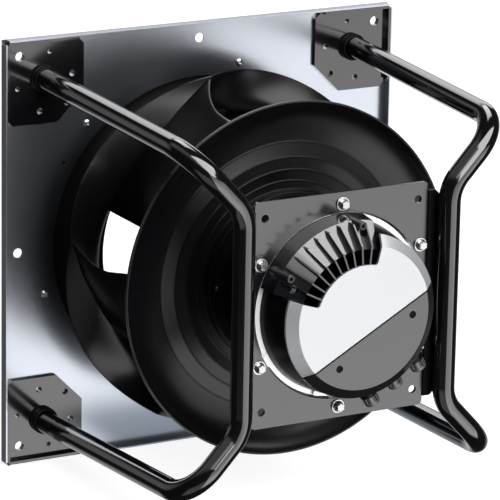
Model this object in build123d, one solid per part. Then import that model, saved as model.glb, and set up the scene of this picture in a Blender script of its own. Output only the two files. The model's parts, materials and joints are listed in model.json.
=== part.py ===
from build123d import *
from math import atan2, cos, degrees, hypot, log, pi, radians, sin
import os

# Plug fan with an external rotor motor. All sizes are in millimetres.
# The fan axis is Y. Y = 0 is the rear face of the nozzle plate, where the fan is mounted.
# The motor points to -Y and Z is up. Angles run from +X towards +Z.

# Nozzle plate, folded from sheet
plate_size = 500.0
plate_sheet = 2.0
plate_flange = 12.3
plate_fold_r = 2.0
corner_notch = 4.5
bolt_spacing = 459.2
bolt_hole_r = 5.5
air_hole_r = 184.6
tap_hole_r = 2.6
tap_radius = 199.0
tap_angle = 150.0

# Inlet nozzle, spun from sheet and riveted behind the plate
nozzle_sheet = 2.0
throat_r = 144.0
bell_width = 40.0
bell_depth = 44.0
lip_length = 5.0
nozzle_flange_r = 214.0
rivet_count = 6
rivet_circle_r = 202.5
rivet_first_angle = 15.0
rivet_r = 2.4
rivet_head_r = 4.6
rivet_head = 2.2
rivet_tail_r = 3.6
rivet_tail = 1.2

# Corner brackets and their tube sockets
bracket_sheet = 5.0
bracket_flange_sheet = 3.0
bracket_inner = 150.0
bracket_chamfer = 33.0
bracket_tip_chamfer = 9.0
bracket_outer_hole_r = 2.8
bracket_outer_hole_edge = 17.5
bracket_outer_hole_x = 192.5
bracket_inner_hole_r = 3.5
bracket_inner_hole_far = 205.0
bracket_inner_hole_near = 164.6
bracket_diagonal_hole = 171.5
bracket_diagonal_depth = 4.0
bracket_gap = 0.3
collar_wall = 4.0
collar_gap = 0.6
collar_height = 8.0
collar_fillet = 2.5

# Tube frames that carry the motor plate
tube_r = 11.2
tube_wall = 2.0
tube_foot_x = 199.8
tube_foot_z = 202.2
tube_shoulder_x = 189.0
tube_shoulder_z = 188.5
tube_front_x = 126.7
tube_front_z = 121.9
tube_bend_r = 44.3
tube_front_y = -350.0

# Motor plate and the bars that join it to the tubes
motor_plate_width = 216.2
motor_plate_height = 256.0
motor_plate_sheet = 4.0
motor_plate_y = -336.7
motor_plate_corner = 5.5
motor_hole_r = 105.6
motor_bolt_x = 190.8
motor_bolt_z = 218.0
motor_bolt_r = 4.5
bar_height = 236.0
bar_chamfer = 10.0

# Screws that hold the motor to its plate
flange_screw_count = 6
flange_screw_circle_r = 114.9
flange_screw_first_angle = 30.0
flange_screw_r = 4.0
flange_washer_r = 7.9
flange_washer = 1.6
flange_head_r = 6.4
flange_head = 5.0
flange_socket_r = 2.6
screw_gap = 0.15

# Stator flange with the bearing tube
spigot_r = 103.5
flange_back = 10.0
ear_r = 9.0
ear_depth = 8.0
bearing_tube_r = 30.0
bearing_tube_end = -236.0
rim_lug_height = 3.0
rim_lug_start = -107.5
rim_lug_end = -103.0
rim_boss_r = 2.3
rim_boss_height = 2.0
rim_boss_angle = -153.0
seat_gap = 0.05

# Shaft and bearings
shaft_r = 8.5
shaft_front = -333.0
shaft_back = -204.0
shaft_chamfer = 1.0
groove_depth = 0.8
groove_gap = 0.1
bearing_r = 20.0
bearing_width = 12.0
bearing_inner_ring = 4.0
bearing_ring_gap = 0.3
bearing_shoulder = 4.0
sleeve_wall = 3.0
front_bearing_y = -326.0
back_bearing_y = -252.0
retaining_ring_r = 11.0
retaining_ring = 1.2
retaining_ring_slot = 4.0

# Stator
core_r = 75.2
core_front = -306.0
core_length = 60.0
core_yoke = 16.0
tooth_count = 12
tooth_width = 9.0
tooth_tip = 5.0
tooth_tip_arc = 23.0
coil_wall = 4.0
coil_end = 6.0
coil_gap = 0.3
coil_tip_gap = 1.5

# Rotor
rotor_r = 85.0
rotor_wall = 4.0
rotor_open_y = -321.5
rotor_closed_y = -208.0
rotor_end = 5.0
rotor_boss_r = 17.0
rotor_boss = 16.0
rotor_flange_r = 97.0
rotor_flange = 4.0
rotor_flange_y = -220.0
rotor_dome_fillet = 6.0
air_gap = 0.8
magnet_count = 8
magnet_split = 3.0
magnet_length = 64.0

# Impeller
blade_count = 5
eye_r = 148.0
eye_y = -38.0
tip_angle = 99.0
tip_r = 208.0
tip_y = -91.0
wave_rise_r = 206.0
wave_rise_y = -70.0
wave_fall_r = 202.5
wave_fall_y = -51.0
shroud_wall = 3.0
shroud_throat_handle = 0.83
shroud_rim_handle = 1.34
shroud_rim_handle_r = 178.0
blade_spiral = 0.384
blade_inlet_power = 3
blade_wall = 5.0
blade_edge_wall = 3.0
blade_seat = 1.2
leading_y = -52.0
leading_eye_r = 147.0
leading_eye_angle = 159.6
leading_hub_r = 138.0
leading_hub_angle = 160.3
trailing_inset = 2.0
trailing_mid_r = 183.0
trailing_mid_angle = 105.3
trailing_mid_y = -140.0
trailing_hub_r = 160.0
trailing_hub_angle = 101.8
hub_rim_r = 204.1
hub_rim_y = -225.5
hub_rim_band = 4.0
hub_dish_r = 153.8
hub_dish_y = -206.7
hub_dish_pull = 0.72
hub_dish_power = 1.6
hub_wall = 3.0
hub_ring_wall = 4.0
hub_bore_gap = 0.4
rib_radii = (137.0, 123.2, 110.1)
rib_ys = (-210.6, -211.6, -210.1)
rib_width = 1.6
rib_height = 1.6
hub_ring_r = 99.0
hub_step = 2.0
hub_screw_count = 6
hub_screw_circle_r = 91.5
hub_screw_r = 2.5
hub_screw_head_r = 4.6
hub_screw_head = 3.2

# Electronics housing on the front of the motor
housing_foot_r = 98.0
housing_rim_r = 92.4
housing_rim_y = -377.0
housing_wall = 4.0
housing_floor = 4.0
gasket = 1.0
gasket_width = 4.0
gasket_inset = 0.5
cap_edge_y = -381.0
cap_face_y = -390.0
cap_face_r = 81.0
cap_wall = 3.0
chord_offset = 19.4
terminal_angle = -60.9
terminal_face_y = -389.0
terminal_face_r = 80.8
terminal_wall = 3.0
split_gap = 0.4
terminal_screw_chord = 51.5
terminal_screw_offset = 33.0
terminal_screw_r = 2.0
terminal_screw_head_r = 4.0
terminal_screw_depth = 3.0
terminal_screw_reach = 6.0
terminal_post_r = 5.0

# Heat sink in the notch of the housing
notch_r = 59.5
notch_start = 76.0
notch_end = 162.0
notch_fillet = 3.0
sink_gap = 0.3
sink_foot_r = 104.8
sink_edge_r = 102.4
sink_edge_y = -361.0
sink_ridge_r = 75.0
sink_ridge_y = -382.0
sink_pocket_y = -352.0
fin_count = 9
fin_first_angle = 85.0
fin_pitch = 8.5
fin_wall = 1.8
fin_outer_r = 101.5
fin_outer_y = -372.0
stud_circle_r = 100.0
stud_angles = (89.0, 149.0)
stud_r = 4.8
stud_end_y = -379.0
stud_socket_r = 2.4
stud_socket_depth = 4.0
sink_screw_place_r = 87.5
sink_screw_angle = 154.5
sink_screw_seat_y = -371.0
sink_screw_seat_r = 4.6
sink_screw_r = 1.6
sink_screw_head_r = 3.4
sink_screw_head = 2.4
sink_screw_reach = 8.0

# Cable glands, closed with blind plugs
gland_count = 3
gland_pitch = 33.0
gland_shift = 7.0
gland_y = -361.0
gland_r = 9.6
gland_boss_r = 10.2
gland_face = 97.0
gland_nut = 8.0
gland_cap = 4.5
gland_thread_r = 6.0
gland_rib_count = 12
gland_rib_r = 0.8

# Electronics
board_y = -352.0
board_wall = 1.6
board_r = 84.0
board_post_gap = 0.6
board_sink_gap = 1.0
post_r = 3.5
post_circle_r = 70.0
post_angles = (20.0, 190.0, 235.0)
board_screw_r = 1.5
board_screw_head_r = 3.0
board_screw_head = 1.8
board_screw_depth = 8.0
capacitor_r = 11.0
capacitor_length = 22.0
capacitor_spacing = 24.0
capacitor_edge_r = 1.5
choke_r = 14.0
choke_bore_r = 6.0
choke_height = 12.0
choke_edge = 2.0
choke_place_r = 48.0
choke_angle = 215.0
terminal_block_length = 44.0
terminal_block_width = 14.0
terminal_block_height = 16.0
terminal_count = 4
terminal_pitch = 9.6
terminal_hole_r = 2.5
terminal_hole_depth = 8.0

plate_half = plate_size / 2
bolt_half = bolt_spacing / 2
plate_front = -plate_sheet
sector_angle = 360 / blade_count
motor_plate_back = motor_plate_y + motor_plate_sheet
flange_rear = motor_plate_y + flange_back
floor_top = motor_plate_y - housing_floor


def facing(y):
    """Plane across the fan axis that faces the motor, with its x along X and its y along Z."""
    return Plane(origin=(0, y, 0), x_dir=(1, 0, 0), z_dir=(0, -1, 0))


def slab(sketch, y, depth):
    """Sketch laid at y and pushed towards the motor by depth."""
    return extrude(facing(y) * sketch, amount=depth)


def disc(r, y, depth, x=0.0, z=0.0):
    return slab(Pos(x, z) * Circle(r), y, depth)


def tube(r_out, r_in, y, depth, x=0.0, z=0.0):
    return slab(Pos(x, z) * (Circle(r_out) - Circle(r_in)), y, depth)


def spun(points):
    """Closed outline in radius and y, turned about the fan axis."""
    return revolve(make_face(Polyline(*points, close=True)), axis=Axis.Y)


def polar(r, angle):
    return r * cos(radians(angle)), r * sin(radians(angle))


def turned(shape, angle):
    """Shape turned about the fan axis from +X towards +Z."""
    return shape.rotate(Axis.Y, -angle)


def ring_angles(count, first):
    return [first + 360 / count * i for i in range(count)]


def wedge(r_in, r_out, start, end, y, depth):
    """Sector of a ring between two angles, pushed towards the motor."""
    middle = (start + end) / 2
    inner_ends = [Vector(*polar(r_in, a)) for a in (start, middle, end)]
    outer_ends = [Vector(*polar(r_out, a)) for a in (end, middle, start)]
    outline = Curve() + [
        ThreePointArc(*inner_ends),
        Line(inner_ends[2], outer_ends[0]),
        ThreePointArc(*outer_ends),
        Line(outer_ends[2], inner_ends[0]),
    ]
    return slab(make_face(outline), y, depth)


def group(shapes):
    """Several separate solids kept together in one node."""
    return Compound(children=[solid for shape in shapes for solid in shape.solids()])


def nozzle_plate():
    depth = plate_sheet + plate_flange
    plate = slab(Rectangle(plate_size, plate_size), 0, depth)
    rear_edges = plate.edges().group_by(Axis.Y)[-1]
    plate = fillet(rear_edges, plate_fold_r)
    inside = plate_size - 2 * plate_sheet
    plate -= slab(Rectangle(inside, inside), plate_front, depth)
    for sx in (-1, 1):
        for sz in (-1, 1):
            corner = Pos(sx * plate_half, sz * plate_half) * Rectangle(2 * corner_notch, 2 * corner_notch)
            plate -= slab(corner, plate_front, depth)
    plate -= disc(air_hole_r, depth, 2 * depth)
    for x in (-bolt_half, 0, bolt_half):
        for z in (-bolt_half, 0, bolt_half):
            if x or z:
                plate -= disc(bolt_hole_r, depth, 2 * depth, x, z)
    for angle in ring_angles(rivet_count, rivet_first_angle):
        plate -= disc(rivet_r + seat_gap, depth, 2 * depth, *polar(rivet_circle_r, angle))
    plate -= disc(tap_hole_r, depth, 2 * depth, *polar(tap_radius, tap_angle))
    return plate


def inlet_nozzle():
    edge_r = throat_r + bell_width
    bend_y = nozzle_sheet - bell_depth
    lip_y = bend_y - lip_length
    centre = (edge_r, bend_y)
    air_side = EllipticalCenterArc(centre, bell_width, bell_depth, start_angle=90, arc_size=90)
    back_side = EllipticalCenterArc(
        centre, bell_width - nozzle_sheet, bell_depth - nozzle_sheet, start_angle=90, arc_size=90
    )
    outline = Curve() + [
        air_side,
        Polyline(
            (throat_r, bend_y), (throat_r, lip_y),
            (throat_r + nozzle_sheet, lip_y), (throat_r + nozzle_sheet, bend_y),
        ),
        back_side,
        Polyline((edge_r, 0), (nozzle_flange_r, 0), (nozzle_flange_r, nozzle_sheet), (edge_r, nozzle_sheet)),
    ]
    nozzle = revolve(make_face(outline), axis=Axis.Y)
    for angle in ring_angles(rivet_count, rivet_first_angle):
        nozzle -= disc(rivet_r + seat_gap, 2 * nozzle_sheet, 3 * nozzle_sheet, *polar(rivet_circle_r, angle))
    return nozzle


def nozzle_rivets():
    """Rivets through the plate and the nozzle flange, with a round head on both sides."""
    rivets = []
    for angle in ring_angles(rivet_count, rivet_first_angle):
        x, z = polar(rivet_circle_r, angle)
        rivet = disc(rivet_head_r, plate_front, rivet_head, x, z)
        rivet = chamfer(rivet.edges().group_by(Axis.Y)[0], rivet_head / 2)
        rivet += disc(rivet_r, nozzle_sheet, nozzle_sheet + plate_sheet, x, z)
        rivet += disc(rivet_tail_r, nozzle_sheet + rivet_tail, rivet_tail, x, z)
        rivets.append(rivet)
    return group(rivets)


def bracket_outline(outer):
    """Corner plate in the first quadrant, with one large and two small cut corners."""
    inner = bracket_inner
    return make_face(Polyline(
        (inner + bracket_chamfer, inner),
        (outer - bracket_tip_chamfer, inner),
        (outer, inner + bracket_tip_chamfer),
        (outer, outer),
        (inner + bracket_tip_chamfer, outer),
        (inner, outer - bracket_tip_chamfer),
        (inner, inner + bracket_chamfer),
        close=True,
    ))


def corner_bracket(sx, sz):
    outer = plate_half - plate_sheet - bracket_gap
    bracket = slab(bracket_outline(outer), plate_front, bracket_sheet)
    edge = outer - bracket_flange_sheet / 2
    start = bracket_inner + bracket_tip_chamfer
    length = outer - start
    middle = start + length / 2
    reach = plate_flange
    bracket += slab(Pos(edge, middle) * Rectangle(bracket_flange_sheet, length), plate_front, reach)
    bracket += slab(Pos(middle, edge) * Rectangle(length, bracket_flange_sheet), plate_front, reach)
    bracket -= slab(Pos(plate_half, plate_half) * Rectangle(2 * corner_notch, 2 * corner_notch),
                    plate_front - bracket_sheet, reach)
    deep = 4 * bracket_sheet
    bracket -= disc(bolt_hole_r, 0, deep, bolt_half, bolt_half)
    edge_hole = plate_half - bracket_outer_hole_edge
    for x, z in ((bracket_outer_hole_x, edge_hole), (edge_hole, bracket_outer_hole_x)):
        bracket -= disc(bracket_outer_hole_r, 0, deep, x, z)
    near = bracket_inner_hole_near
    far = bracket_inner_hole_far
    for x, z in ((near, far), (far, near)):
        bracket -= disc(bracket_inner_hole_r, 0, deep, x, z)
    blind_y = plate_front - bracket_sheet + bracket_diagonal_depth
    bracket -= disc(bracket_inner_hole_r, blind_y, deep, bracket_diagonal_hole, bracket_diagonal_hole)
    if sx != sz:
        bracket = mirror(bracket, about=Plane.YZ)
    return bracket if sz > 0 else bracket.rotate(Axis.Y, 180)


def tube_axis_at(y):
    """Place of a leaning tube leg at y, in the first quadrant."""
    share = y / tube_front_y
    x = tube_foot_x + (tube_shoulder_x - tube_foot_x) * share
    z = tube_foot_z + (tube_shoulder_z - tube_foot_z) * share
    return x, z


def tube_collars():
    """Short round sockets on the brackets, one round each tube foot."""
    seat = plate_front - bracket_sheet
    collars = []
    x, z = tube_axis_at(seat - collar_height / 2)
    bore_r = tube_r + collar_gap
    outer_r = bore_r + collar_wall
    for sx in (-1, 1):
        for sz in (-1, 1):
            collar = disc(outer_r, seat, collar_height, sx * x, sz * z)
            collar = fillet(collar.edges().group_by(Axis.Y)[0], collar_fillet)
            collar -= disc(bore_r, seat + 1, collar_height + 2, sx * x, sz * z)
            collars.append(collar)
    return group(collars)


def tube_frame(sx):
    """One bent tube from an upper bracket to the lower one, cut flat on the brackets."""
    route = [
        (sx * tube_foot_x, 0, tube_foot_z),
        (sx * tube_shoulder_x, tube_front_y, tube_shoulder_z),
        (sx * tube_front_x, tube_front_y, tube_front_z),
        (sx * tube_front_x, tube_front_y, -tube_front_z),
        (sx * tube_shoulder_x, tube_front_y, -tube_shoulder_z),
        (sx * tube_foot_x, 0, -tube_foot_z),
    ]
    path = FilletPolyline(*route, radius=tube_bend_r)
    start = Plane(origin=path @ 0, z_dir=path % 0)
    frame = sweep(start * Circle(tube_r), path=path) - sweep(start * Circle(tube_r - tube_wall), path=path)
    seat = plate_front - bracket_sheet
    frame -= Pos(sx * tube_foot_x, seat + tube_r, 0) * Box(4 * tube_r, 2 * tube_r, plate_size)
    return frame


def motor_plate():
    plate = slab(
        RectangleRounded(motor_plate_width, motor_plate_height, motor_plate_corner),
        motor_plate_back, motor_plate_sheet,
    )
    deep = 3 * motor_plate_sheet
    top = motor_plate_back + motor_plate_sheet
    plate -= disc(motor_hole_r, top, deep)
    for x in (-motor_bolt_x / 2, motor_bolt_x / 2):
        for z in (-motor_bolt_z / 2, motor_bolt_z / 2):
            plate -= disc(motor_bolt_r, top, deep, x, z)
    for angle in ring_angles(flange_screw_count, flange_screw_first_angle):
        plate -= disc(flange_screw_r + screw_gap, top, deep, *polar(flange_screw_circle_r, angle))
    return plate


def side_bars():
    """Flat bars between the edges of the motor plate and the backs of the tubes."""
    front = tube_front_y + tube_r
    depth = motor_plate_back - front
    inner = motor_plate_width / 2
    width = tube_front_x - inner
    bars = []
    for sx in (-1, 1):
        bar = slab(Pos(sx * (inner + width / 2), 0) * Rectangle(width, bar_height), motor_plate_back, depth)
        outer_edges = bar.edges().filter_by(Axis.Y).group_by(Axis.X)[0 if sx < 0 else -1]
        bars.append(chamfer(outer_edges, bar_chamfer))
    return group(bars)


def flange_washers():
    """Washers under the screw heads, on the front of the motor plate."""
    washers = []
    for angle in ring_angles(flange_screw_count, flange_screw_first_angle):
        x, z = polar(flange_screw_circle_r, angle)
        washers.append(tube(flange_washer_r, flange_screw_r + screw_gap, motor_plate_y, flange_washer, x, z))
    return group(washers)


def flange_screws():
    """Pan-head screws with a six-lobe socket."""
    seat = motor_plate_y - flange_washer
    screws = []
    for angle in ring_angles(flange_screw_count, flange_screw_first_angle):
        x, z = polar(flange_screw_circle_r, angle)
        head = disc(flange_head_r, seat, flange_head, x, z)
        head = fillet(head.edges().group_by(Axis.Y)[0], flange_head / 3)
        lobes = Circle(flange_socket_r)
        for lobe in ring_angles(6, 0):
            lobes += Pos(*polar(flange_socket_r, lobe)) * Circle(flange_socket_r / 4)
        head -= slab(Pos(x, z) * lobes, seat - flange_head / 2, flange_head)
        length = flange_washer + motor_plate_sheet + ear_depth
        screws.append(head + disc(flange_screw_r, seat + length, length, x, z))
    return group(screws)


def stator_flange():
    """Cast flange with a spigot in the motor plate, six ears behind it and the bearing tube."""
    body = disc(spigot_r, flange_rear, flange_back)
    for angle in ring_angles(flange_screw_count, flange_screw_first_angle):
        x, z = polar(flange_screw_circle_r, angle)
        neck = Pos(*polar((flange_screw_circle_r + rotor_r) / 2, angle)) * Rot(0, 0, angle)
        ear = Pos(x, z) * Circle(ear_r) + neck * Rectangle(flange_screw_circle_r - rotor_r, 2 * ear_r)
        body += slab(ear, motor_plate_back + ear_depth, ear_depth)
        body -= disc(flange_screw_r + seat_gap, 0, -2 * motor_plate_y, x, z)
    rim_inner = housing_foot_r + split_gap
    rim_outer = spigot_r - split_gap
    root_y = motor_plate_y + rim_lug_height
    body += wedge(rim_inner, rim_outer, rim_lug_start, rim_lug_end, root_y, 2 * rim_lug_height)
    x, z = polar((rim_inner + rim_outer) / 2, rim_boss_angle)
    body += disc(rim_boss_r, root_y, rim_lug_height + rim_boss_height, x, z)
    body += disc(bearing_tube_r, bearing_tube_end, bearing_tube_end - flange_rear)
    seat = front_bearing_y - bearing_width / 2
    body -= disc(bearing_r + seat_gap, 0, -seat)
    body -= disc(bearing_r - bearing_shoulder, 0, bearing_shoulder / 2 - seat)
    return body


def bearing_outer_rings():
    rings = []
    for y in (front_bearing_y, back_bearing_y):
        inner = shaft_r + bearing_inner_ring + bearing_ring_gap
        rings.append(tube(bearing_r, inner, y + bearing_width / 2, bearing_width))
    return group(rings)


def bearing_inner_rings():
    rings = []
    for y in (front_bearing_y, back_bearing_y):
        outer = shaft_r + bearing_inner_ring
        rings.append(tube(outer, shaft_r + seat_gap, y + bearing_width / 2, bearing_width))
    return group(rings)


def spacer_sleeve():
    """Sleeve that keeps the two outer bearing rings apart."""
    back = back_bearing_y - bearing_width / 2
    front = front_bearing_y + bearing_width / 2
    return tube(bearing_r, bearing_r - sleeve_wall, back, back - front)


def shaft():
    body = disc(shaft_r, shaft_back, shaft_back - shaft_front)
    body = chamfer(body.edges().group_by(Axis.Y)[0], shaft_chamfer)
    groove_y = front_bearing_y + bearing_width / 2 + retaining_ring + seat_gap
    body -= tube(2 * shaft_r, shaft_r - groove_depth, groove_y, retaining_ring + 2 * seat_gap)
    return body


def retaining_ring_clip():
    """Open snap ring in the groove of the shaft, behind the front bearing."""
    y = front_bearing_y + bearing_width / 2 + retaining_ring
    clip = tube(retaining_ring_r, shaft_r - groove_depth + groove_gap, y, retaining_ring)
    slot = Pos(retaining_ring_r, 0) * Rectangle(retaining_ring_r, retaining_ring_slot)
    clip -= slab(slot, y + retaining_ring, 3 * retaining_ring)
    return clip


def stator_core():
    """Laminated core with teeth that point outwards, pressed on the bearing tube."""
    bore = bearing_tube_r + seat_gap
    yoke_r = bearing_tube_r + core_yoke
    outline = Circle(yoke_r)
    for angle in ring_angles(tooth_count, 0):
        reach = core_r - tooth_tip / 2 - yoke_r / 2
        tooth = Pos(*polar(yoke_r / 2 + reach / 2, angle)) * Rot(0, 0, angle) * Rectangle(reach, tooth_width)
        outline += tooth
    tips = Circle(core_r) - Circle(core_r - tooth_tip)
    gap = 360 / tooth_count
    slot = 2 * pi * core_r / tooth_count - tooth_tip_arc
    for angle in ring_angles(tooth_count, gap / 2):
        tips -= Pos(*polar(core_r, angle)) * Rot(0, 0, angle) * Rectangle(4 * tooth_tip, slot)
    outline += tips
    outline -= Circle(bore)
    return slab(outline, core_front + core_length, core_length)


def stator_coils():
    """Copper coils, one round each tooth."""
    inner_r = bearing_tube_r + core_yoke + coil_gap
    outer_r = core_r - tooth_tip - coil_tip_gap
    width = tooth_width + 2 * coil_gap
    length = core_length + 2 * coil_gap
    middle_y = core_front + core_length / 2
    face = Plane(origin=(inner_r, middle_y, 0), x_dir=(0, 1, 0), z_dir=(1, 0, 0))
    outer = RectangleRounded(length + 2 * coil_end, width + 2 * coil_wall, coil_wall)
    coil = extrude(face * (outer - Rectangle(length, width)), amount=outer_r - inner_r)
    return group([turned(coil, angle) for angle in ring_angles(tooth_count, 0)])


def rotor_bell():
    """Deep drawn bell, closed towards the impeller, with a flange that carries the impeller."""
    inner_r = rotor_r - rotor_wall
    bell = disc(rotor_r, rotor_closed_y, rotor_closed_y - rotor_open_y)
    bell = fillet(bell.edges().group_by(Axis.Y)[-1], rotor_dome_fillet)
    bell += disc(rotor_flange_r, rotor_flange_y, rotor_flange)
    floor_y = rotor_closed_y - rotor_end
    bell -= disc(inner_r, floor_y, floor_y - rotor_open_y + 1)
    bell += disc(rotor_boss_r, rotor_closed_y, rotor_boss)
    bell -= disc(shaft_r + seat_gap, 0, -rotor_open_y)
    for angle in ring_angles(hub_screw_count, 0):
        bell -= disc(hub_screw_r + seat_gap, 0, -rotor_open_y, *polar(hub_screw_circle_r, angle))
    return bell


def rotor_magnets():
    """Curved magnets on the inside of the bell."""
    outer_r = rotor_r - rotor_wall - seat_gap
    inner_r = core_r + air_gap
    y = core_front + core_length / 2 + magnet_length / 2
    half = 180 / magnet_count - magnet_split / 2
    return group([
        wedge(inner_r, outer_r, angle - half, angle + half, y, magnet_length)
        for angle in ring_angles(magnet_count, 0)
    ])


def bezier(values, t):
    s = 1 - t
    return s**3 * values[0] + 3 * s**2 * t * values[1] + 3 * s * t**2 * values[2] + t**3 * values[3]


def rim_at(phase):
    """Radius and y of the wavy shroud rim; phase runs from one blade tip to the next."""
    r = bezier((tip_r, wave_rise_r, wave_fall_r, tip_r), phase)
    y = bezier((tip_y, wave_rise_y, wave_fall_y, tip_y), phase)
    return r, y


def shroud_section(phase, u, side):
    """Radius, y and inner radius of the shroud wall between the eye and the rim."""
    rim_r, rim_y = rim_at(phase)
    depth = rim_y - eye_y
    radii = (eye_r, eye_r, shroud_rim_handle_r, rim_r)
    heights = (eye_y, eye_y + shroud_throat_handle * depth, eye_y + shroud_rim_handle * depth, rim_y)
    step = 0.0001
    low = max(0, u - step)
    high = min(1, u + step)
    dr = bezier(radii, high) - bezier(radii, low)
    dy = bezier(heights, high) - bezier(heights, low)
    size = hypot(dr, dy)
    r = bezier(radii, u)
    offset = side * shroud_wall / size
    return r - offset * dy, bezier(heights, u) + offset * dr, r


def spiral_angle(r):
    """Angle that the blade has turned, going inwards from the tip radius."""
    return degrees(log(tip_r / r) / blade_spiral)


def shroud_point(phase, u, side):
    r, y, base_r = shroud_section(phase, u, side)
    x, z = polar(r, tip_angle + sector_angle * phase + spiral_angle(base_r))
    return x, y, z


def closest_edge(face, point):
    return min(face.edges(), key=lambda edge: (edge.position_at(0.5) - Vector(*point)).length)


def impeller_shroud():
    """Bell-shaped cover disc with a wavy rim that dips at each blade tip."""
    along = [i / 8 for i in range(9)]
    across = [0, 0.12, 0.25, 0.4, 0.55, 0.7, 0.85, 1]
    skins = []
    for side in (0, 1):
        grid = [[shroud_point(phase, u, side) for u in across] for phase in along]
        skins.append(Face.make_surface_from_array_of_points(grid, tol=0.001, min_deg=3, max_deg=5))
    ends = []
    for u in (0, 1):
        edges = [closest_edge(skins[side], shroud_point(0.5, u, side)) for side in (0, 1)]
        ends.append(Face.make_surface_from_curves(*edges))
    faces = []
    for angle in ring_angles(blade_count, 0):
        faces += [turned(face, angle) for face in skins + ends]
    return Solid(Shell(faces))


def crease_y(r):
    """Height of the shroud's inner side along a blade."""
    low = 0.0
    high = 1.0
    while high - low > 0.00001:
        middle = (low + high) / 2
        if shroud_section(0, middle, 0)[2] < r:
            low = middle
        else:
            high = middle
    return shroud_section(0, low, 0)[1]


def trailing_edge(y):
    """Radius and angle of the blade's trailing edge, which runs inwards from the shroud to the hub."""
    if y < trailing_mid_y:
        share = (y - trailing_mid_y) / (hub_dish_y - trailing_mid_y)
        r = trailing_mid_r + (trailing_hub_r - trailing_mid_r) * share
        return r, trailing_mid_angle + (trailing_hub_angle - trailing_mid_angle) * share
    share = (y - tip_y) / (trailing_mid_y - tip_y)
    start_r = tip_r - trailing_inset
    angle = tip_angle + (trailing_mid_angle - tip_angle) * sin(share * pi / 2)
    return start_r + (trailing_mid_r - start_r) * share, angle


def hub_y(r):
    """Height of the back plate's blade side."""
    share = (r - hub_dish_r) / (hub_rim_r - hub_dish_r)
    if share < 0:
        return hub_dish_y + hub_wall
    return hub_dish_y + hub_wall + (hub_rim_y - hub_dish_y) * share**hub_dish_power


def camber_point(u, v, side):
    """Point on a blade wall; u runs from leading to trailing edge, v from shroud to hub."""
    lead_r = leading_eye_r + (leading_hub_r - leading_eye_r) * v
    lead_angle = leading_eye_angle + (leading_hub_angle - leading_eye_angle) * v
    top_r = leading_eye_r + (tip_r - trailing_inset - leading_eye_r) * u
    top_y = leading_y
    if top_r > eye_r + 1:
        top_y = min(leading_y, crease_y(top_r))
    top_y += blade_seat
    bottom_r = leading_hub_r + (trailing_hub_r - leading_hub_r) * u
    bottom_y = hub_y(bottom_r) - blade_seat
    y = top_y + (bottom_y - top_y) * v
    end_r, end_angle = trailing_edge(y)
    r = lead_r + (end_r - lead_r) * u
    whole = log(end_r / lead_r)
    even_growth = whole / radians(lead_angle - end_angle)
    growth = blade_spiral + (even_growth - blade_spiral) * v
    share = log(end_r / r) / whole
    flattening = lead_angle - end_angle - degrees(whole / growth)
    angle = end_angle + degrees(share * whole / growth) + flattening * share**blade_inlet_power
    x, z = polar(r, angle)
    lean = radians(angle) + pi / 2 - atan2(growth, 1)
    half = (blade_edge_wall + (blade_wall - blade_edge_wall) * sin(pi * min(1, max(0, u)))) / 2
    return x + side * half * sin(lean), y, z - side * half * cos(lean)


def blade_blank():
    """Solid between the two walls of one blade, long enough to enter the shroud and the hub."""
    across = [i / 12 for i in range(13)]
    down = [i / 8 for i in range(9)]
    skins = []
    for side in (-1, 1):
        grid = [[camber_point(u, v, side) for u in across] for v in down]
        skins.append(Face.make_surface_from_array_of_points(grid, tol=0.01, min_deg=3, max_deg=5))
    borders = []
    for u, v in ((0, 0.5), (1, 0.5), (0.5, 0), (0.5, 1)):
        edges = [closest_edge(skin, camber_point(u, v, side)) for skin, side in zip(skins, (-1, 1))]
        borders.append(Face.make_surface_from_curves(*edges))
    return Solid(Shell(skins + borders))


def impeller_blades(shroud, back_plate):
    blade = blade_blank() - shroud - back_plate
    kept = max(blade.solids(), key=lambda solid: solid.volume)
    return group([turned(kept, angle) for angle in ring_angles(blade_count, 0)])


def impeller_back_plate():
    """Dished disc with a rim band, stiffening ribs and a screwed centre ring."""
    rim_inner = hub_rim_r - hub_rim_band / 2
    pull_r = hub_dish_r + (rim_inner - hub_dish_r) * hub_dish_pull
    motor_side = Bezier((rim_inner, hub_rim_y), (pull_r, hub_dish_y), (hub_dish_r, hub_dish_y))
    blade_side = Bezier(
        (hub_dish_r, hub_dish_y + hub_wall),
        (pull_r, hub_dish_y + hub_wall),
        (rim_inner, hub_rim_y + hub_rim_band),
    )
    zone = [(hub_dish_r, hub_dish_y)] + list(zip(rib_radii, rib_ys))
    step_r = hub_ring_r + hub_step
    bore_r = rotor_r + hub_bore_gap
    zone += [(step_r, rib_ys[-1]), (hub_ring_r, rotor_flange_y), (bore_r, rotor_flange_y)]
    ring_top = rotor_flange_y + hub_ring_wall
    back = [(bore_r, ring_top), (hub_ring_r - hub_step, ring_top), (hub_ring_r, rib_ys[-1] + hub_wall)]
    back += [(r, y + hub_wall) for r, y in reversed(list(zip(rib_radii, rib_ys)))]
    back += [(hub_dish_r, hub_dish_y + hub_wall)]
    rim = [
        (rim_inner, hub_rim_y + hub_rim_band), (hub_rim_r, hub_rim_y + hub_rim_band),
        (hub_rim_r, hub_rim_y), (rim_inner, hub_rim_y),
    ]
    outline = Curve() + [motor_side, Polyline(*zone, *back), blade_side, Polyline(*rim)]
    plate = revolve(make_face(outline), axis=Axis.Y)
    for r, y in [(hub_dish_r, hub_dish_y)] + list(zip(rib_radii, rib_ys)):
        plate += tube(r + rib_width / 2, r - rib_width / 2, y + 1, 1 + rib_height)
    for angle in ring_angles(hub_screw_count, 0):
        plate -= disc(hub_screw_r + screw_gap, 0, -rotor_open_y, *polar(hub_screw_circle_r, angle))
    return plate


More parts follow.
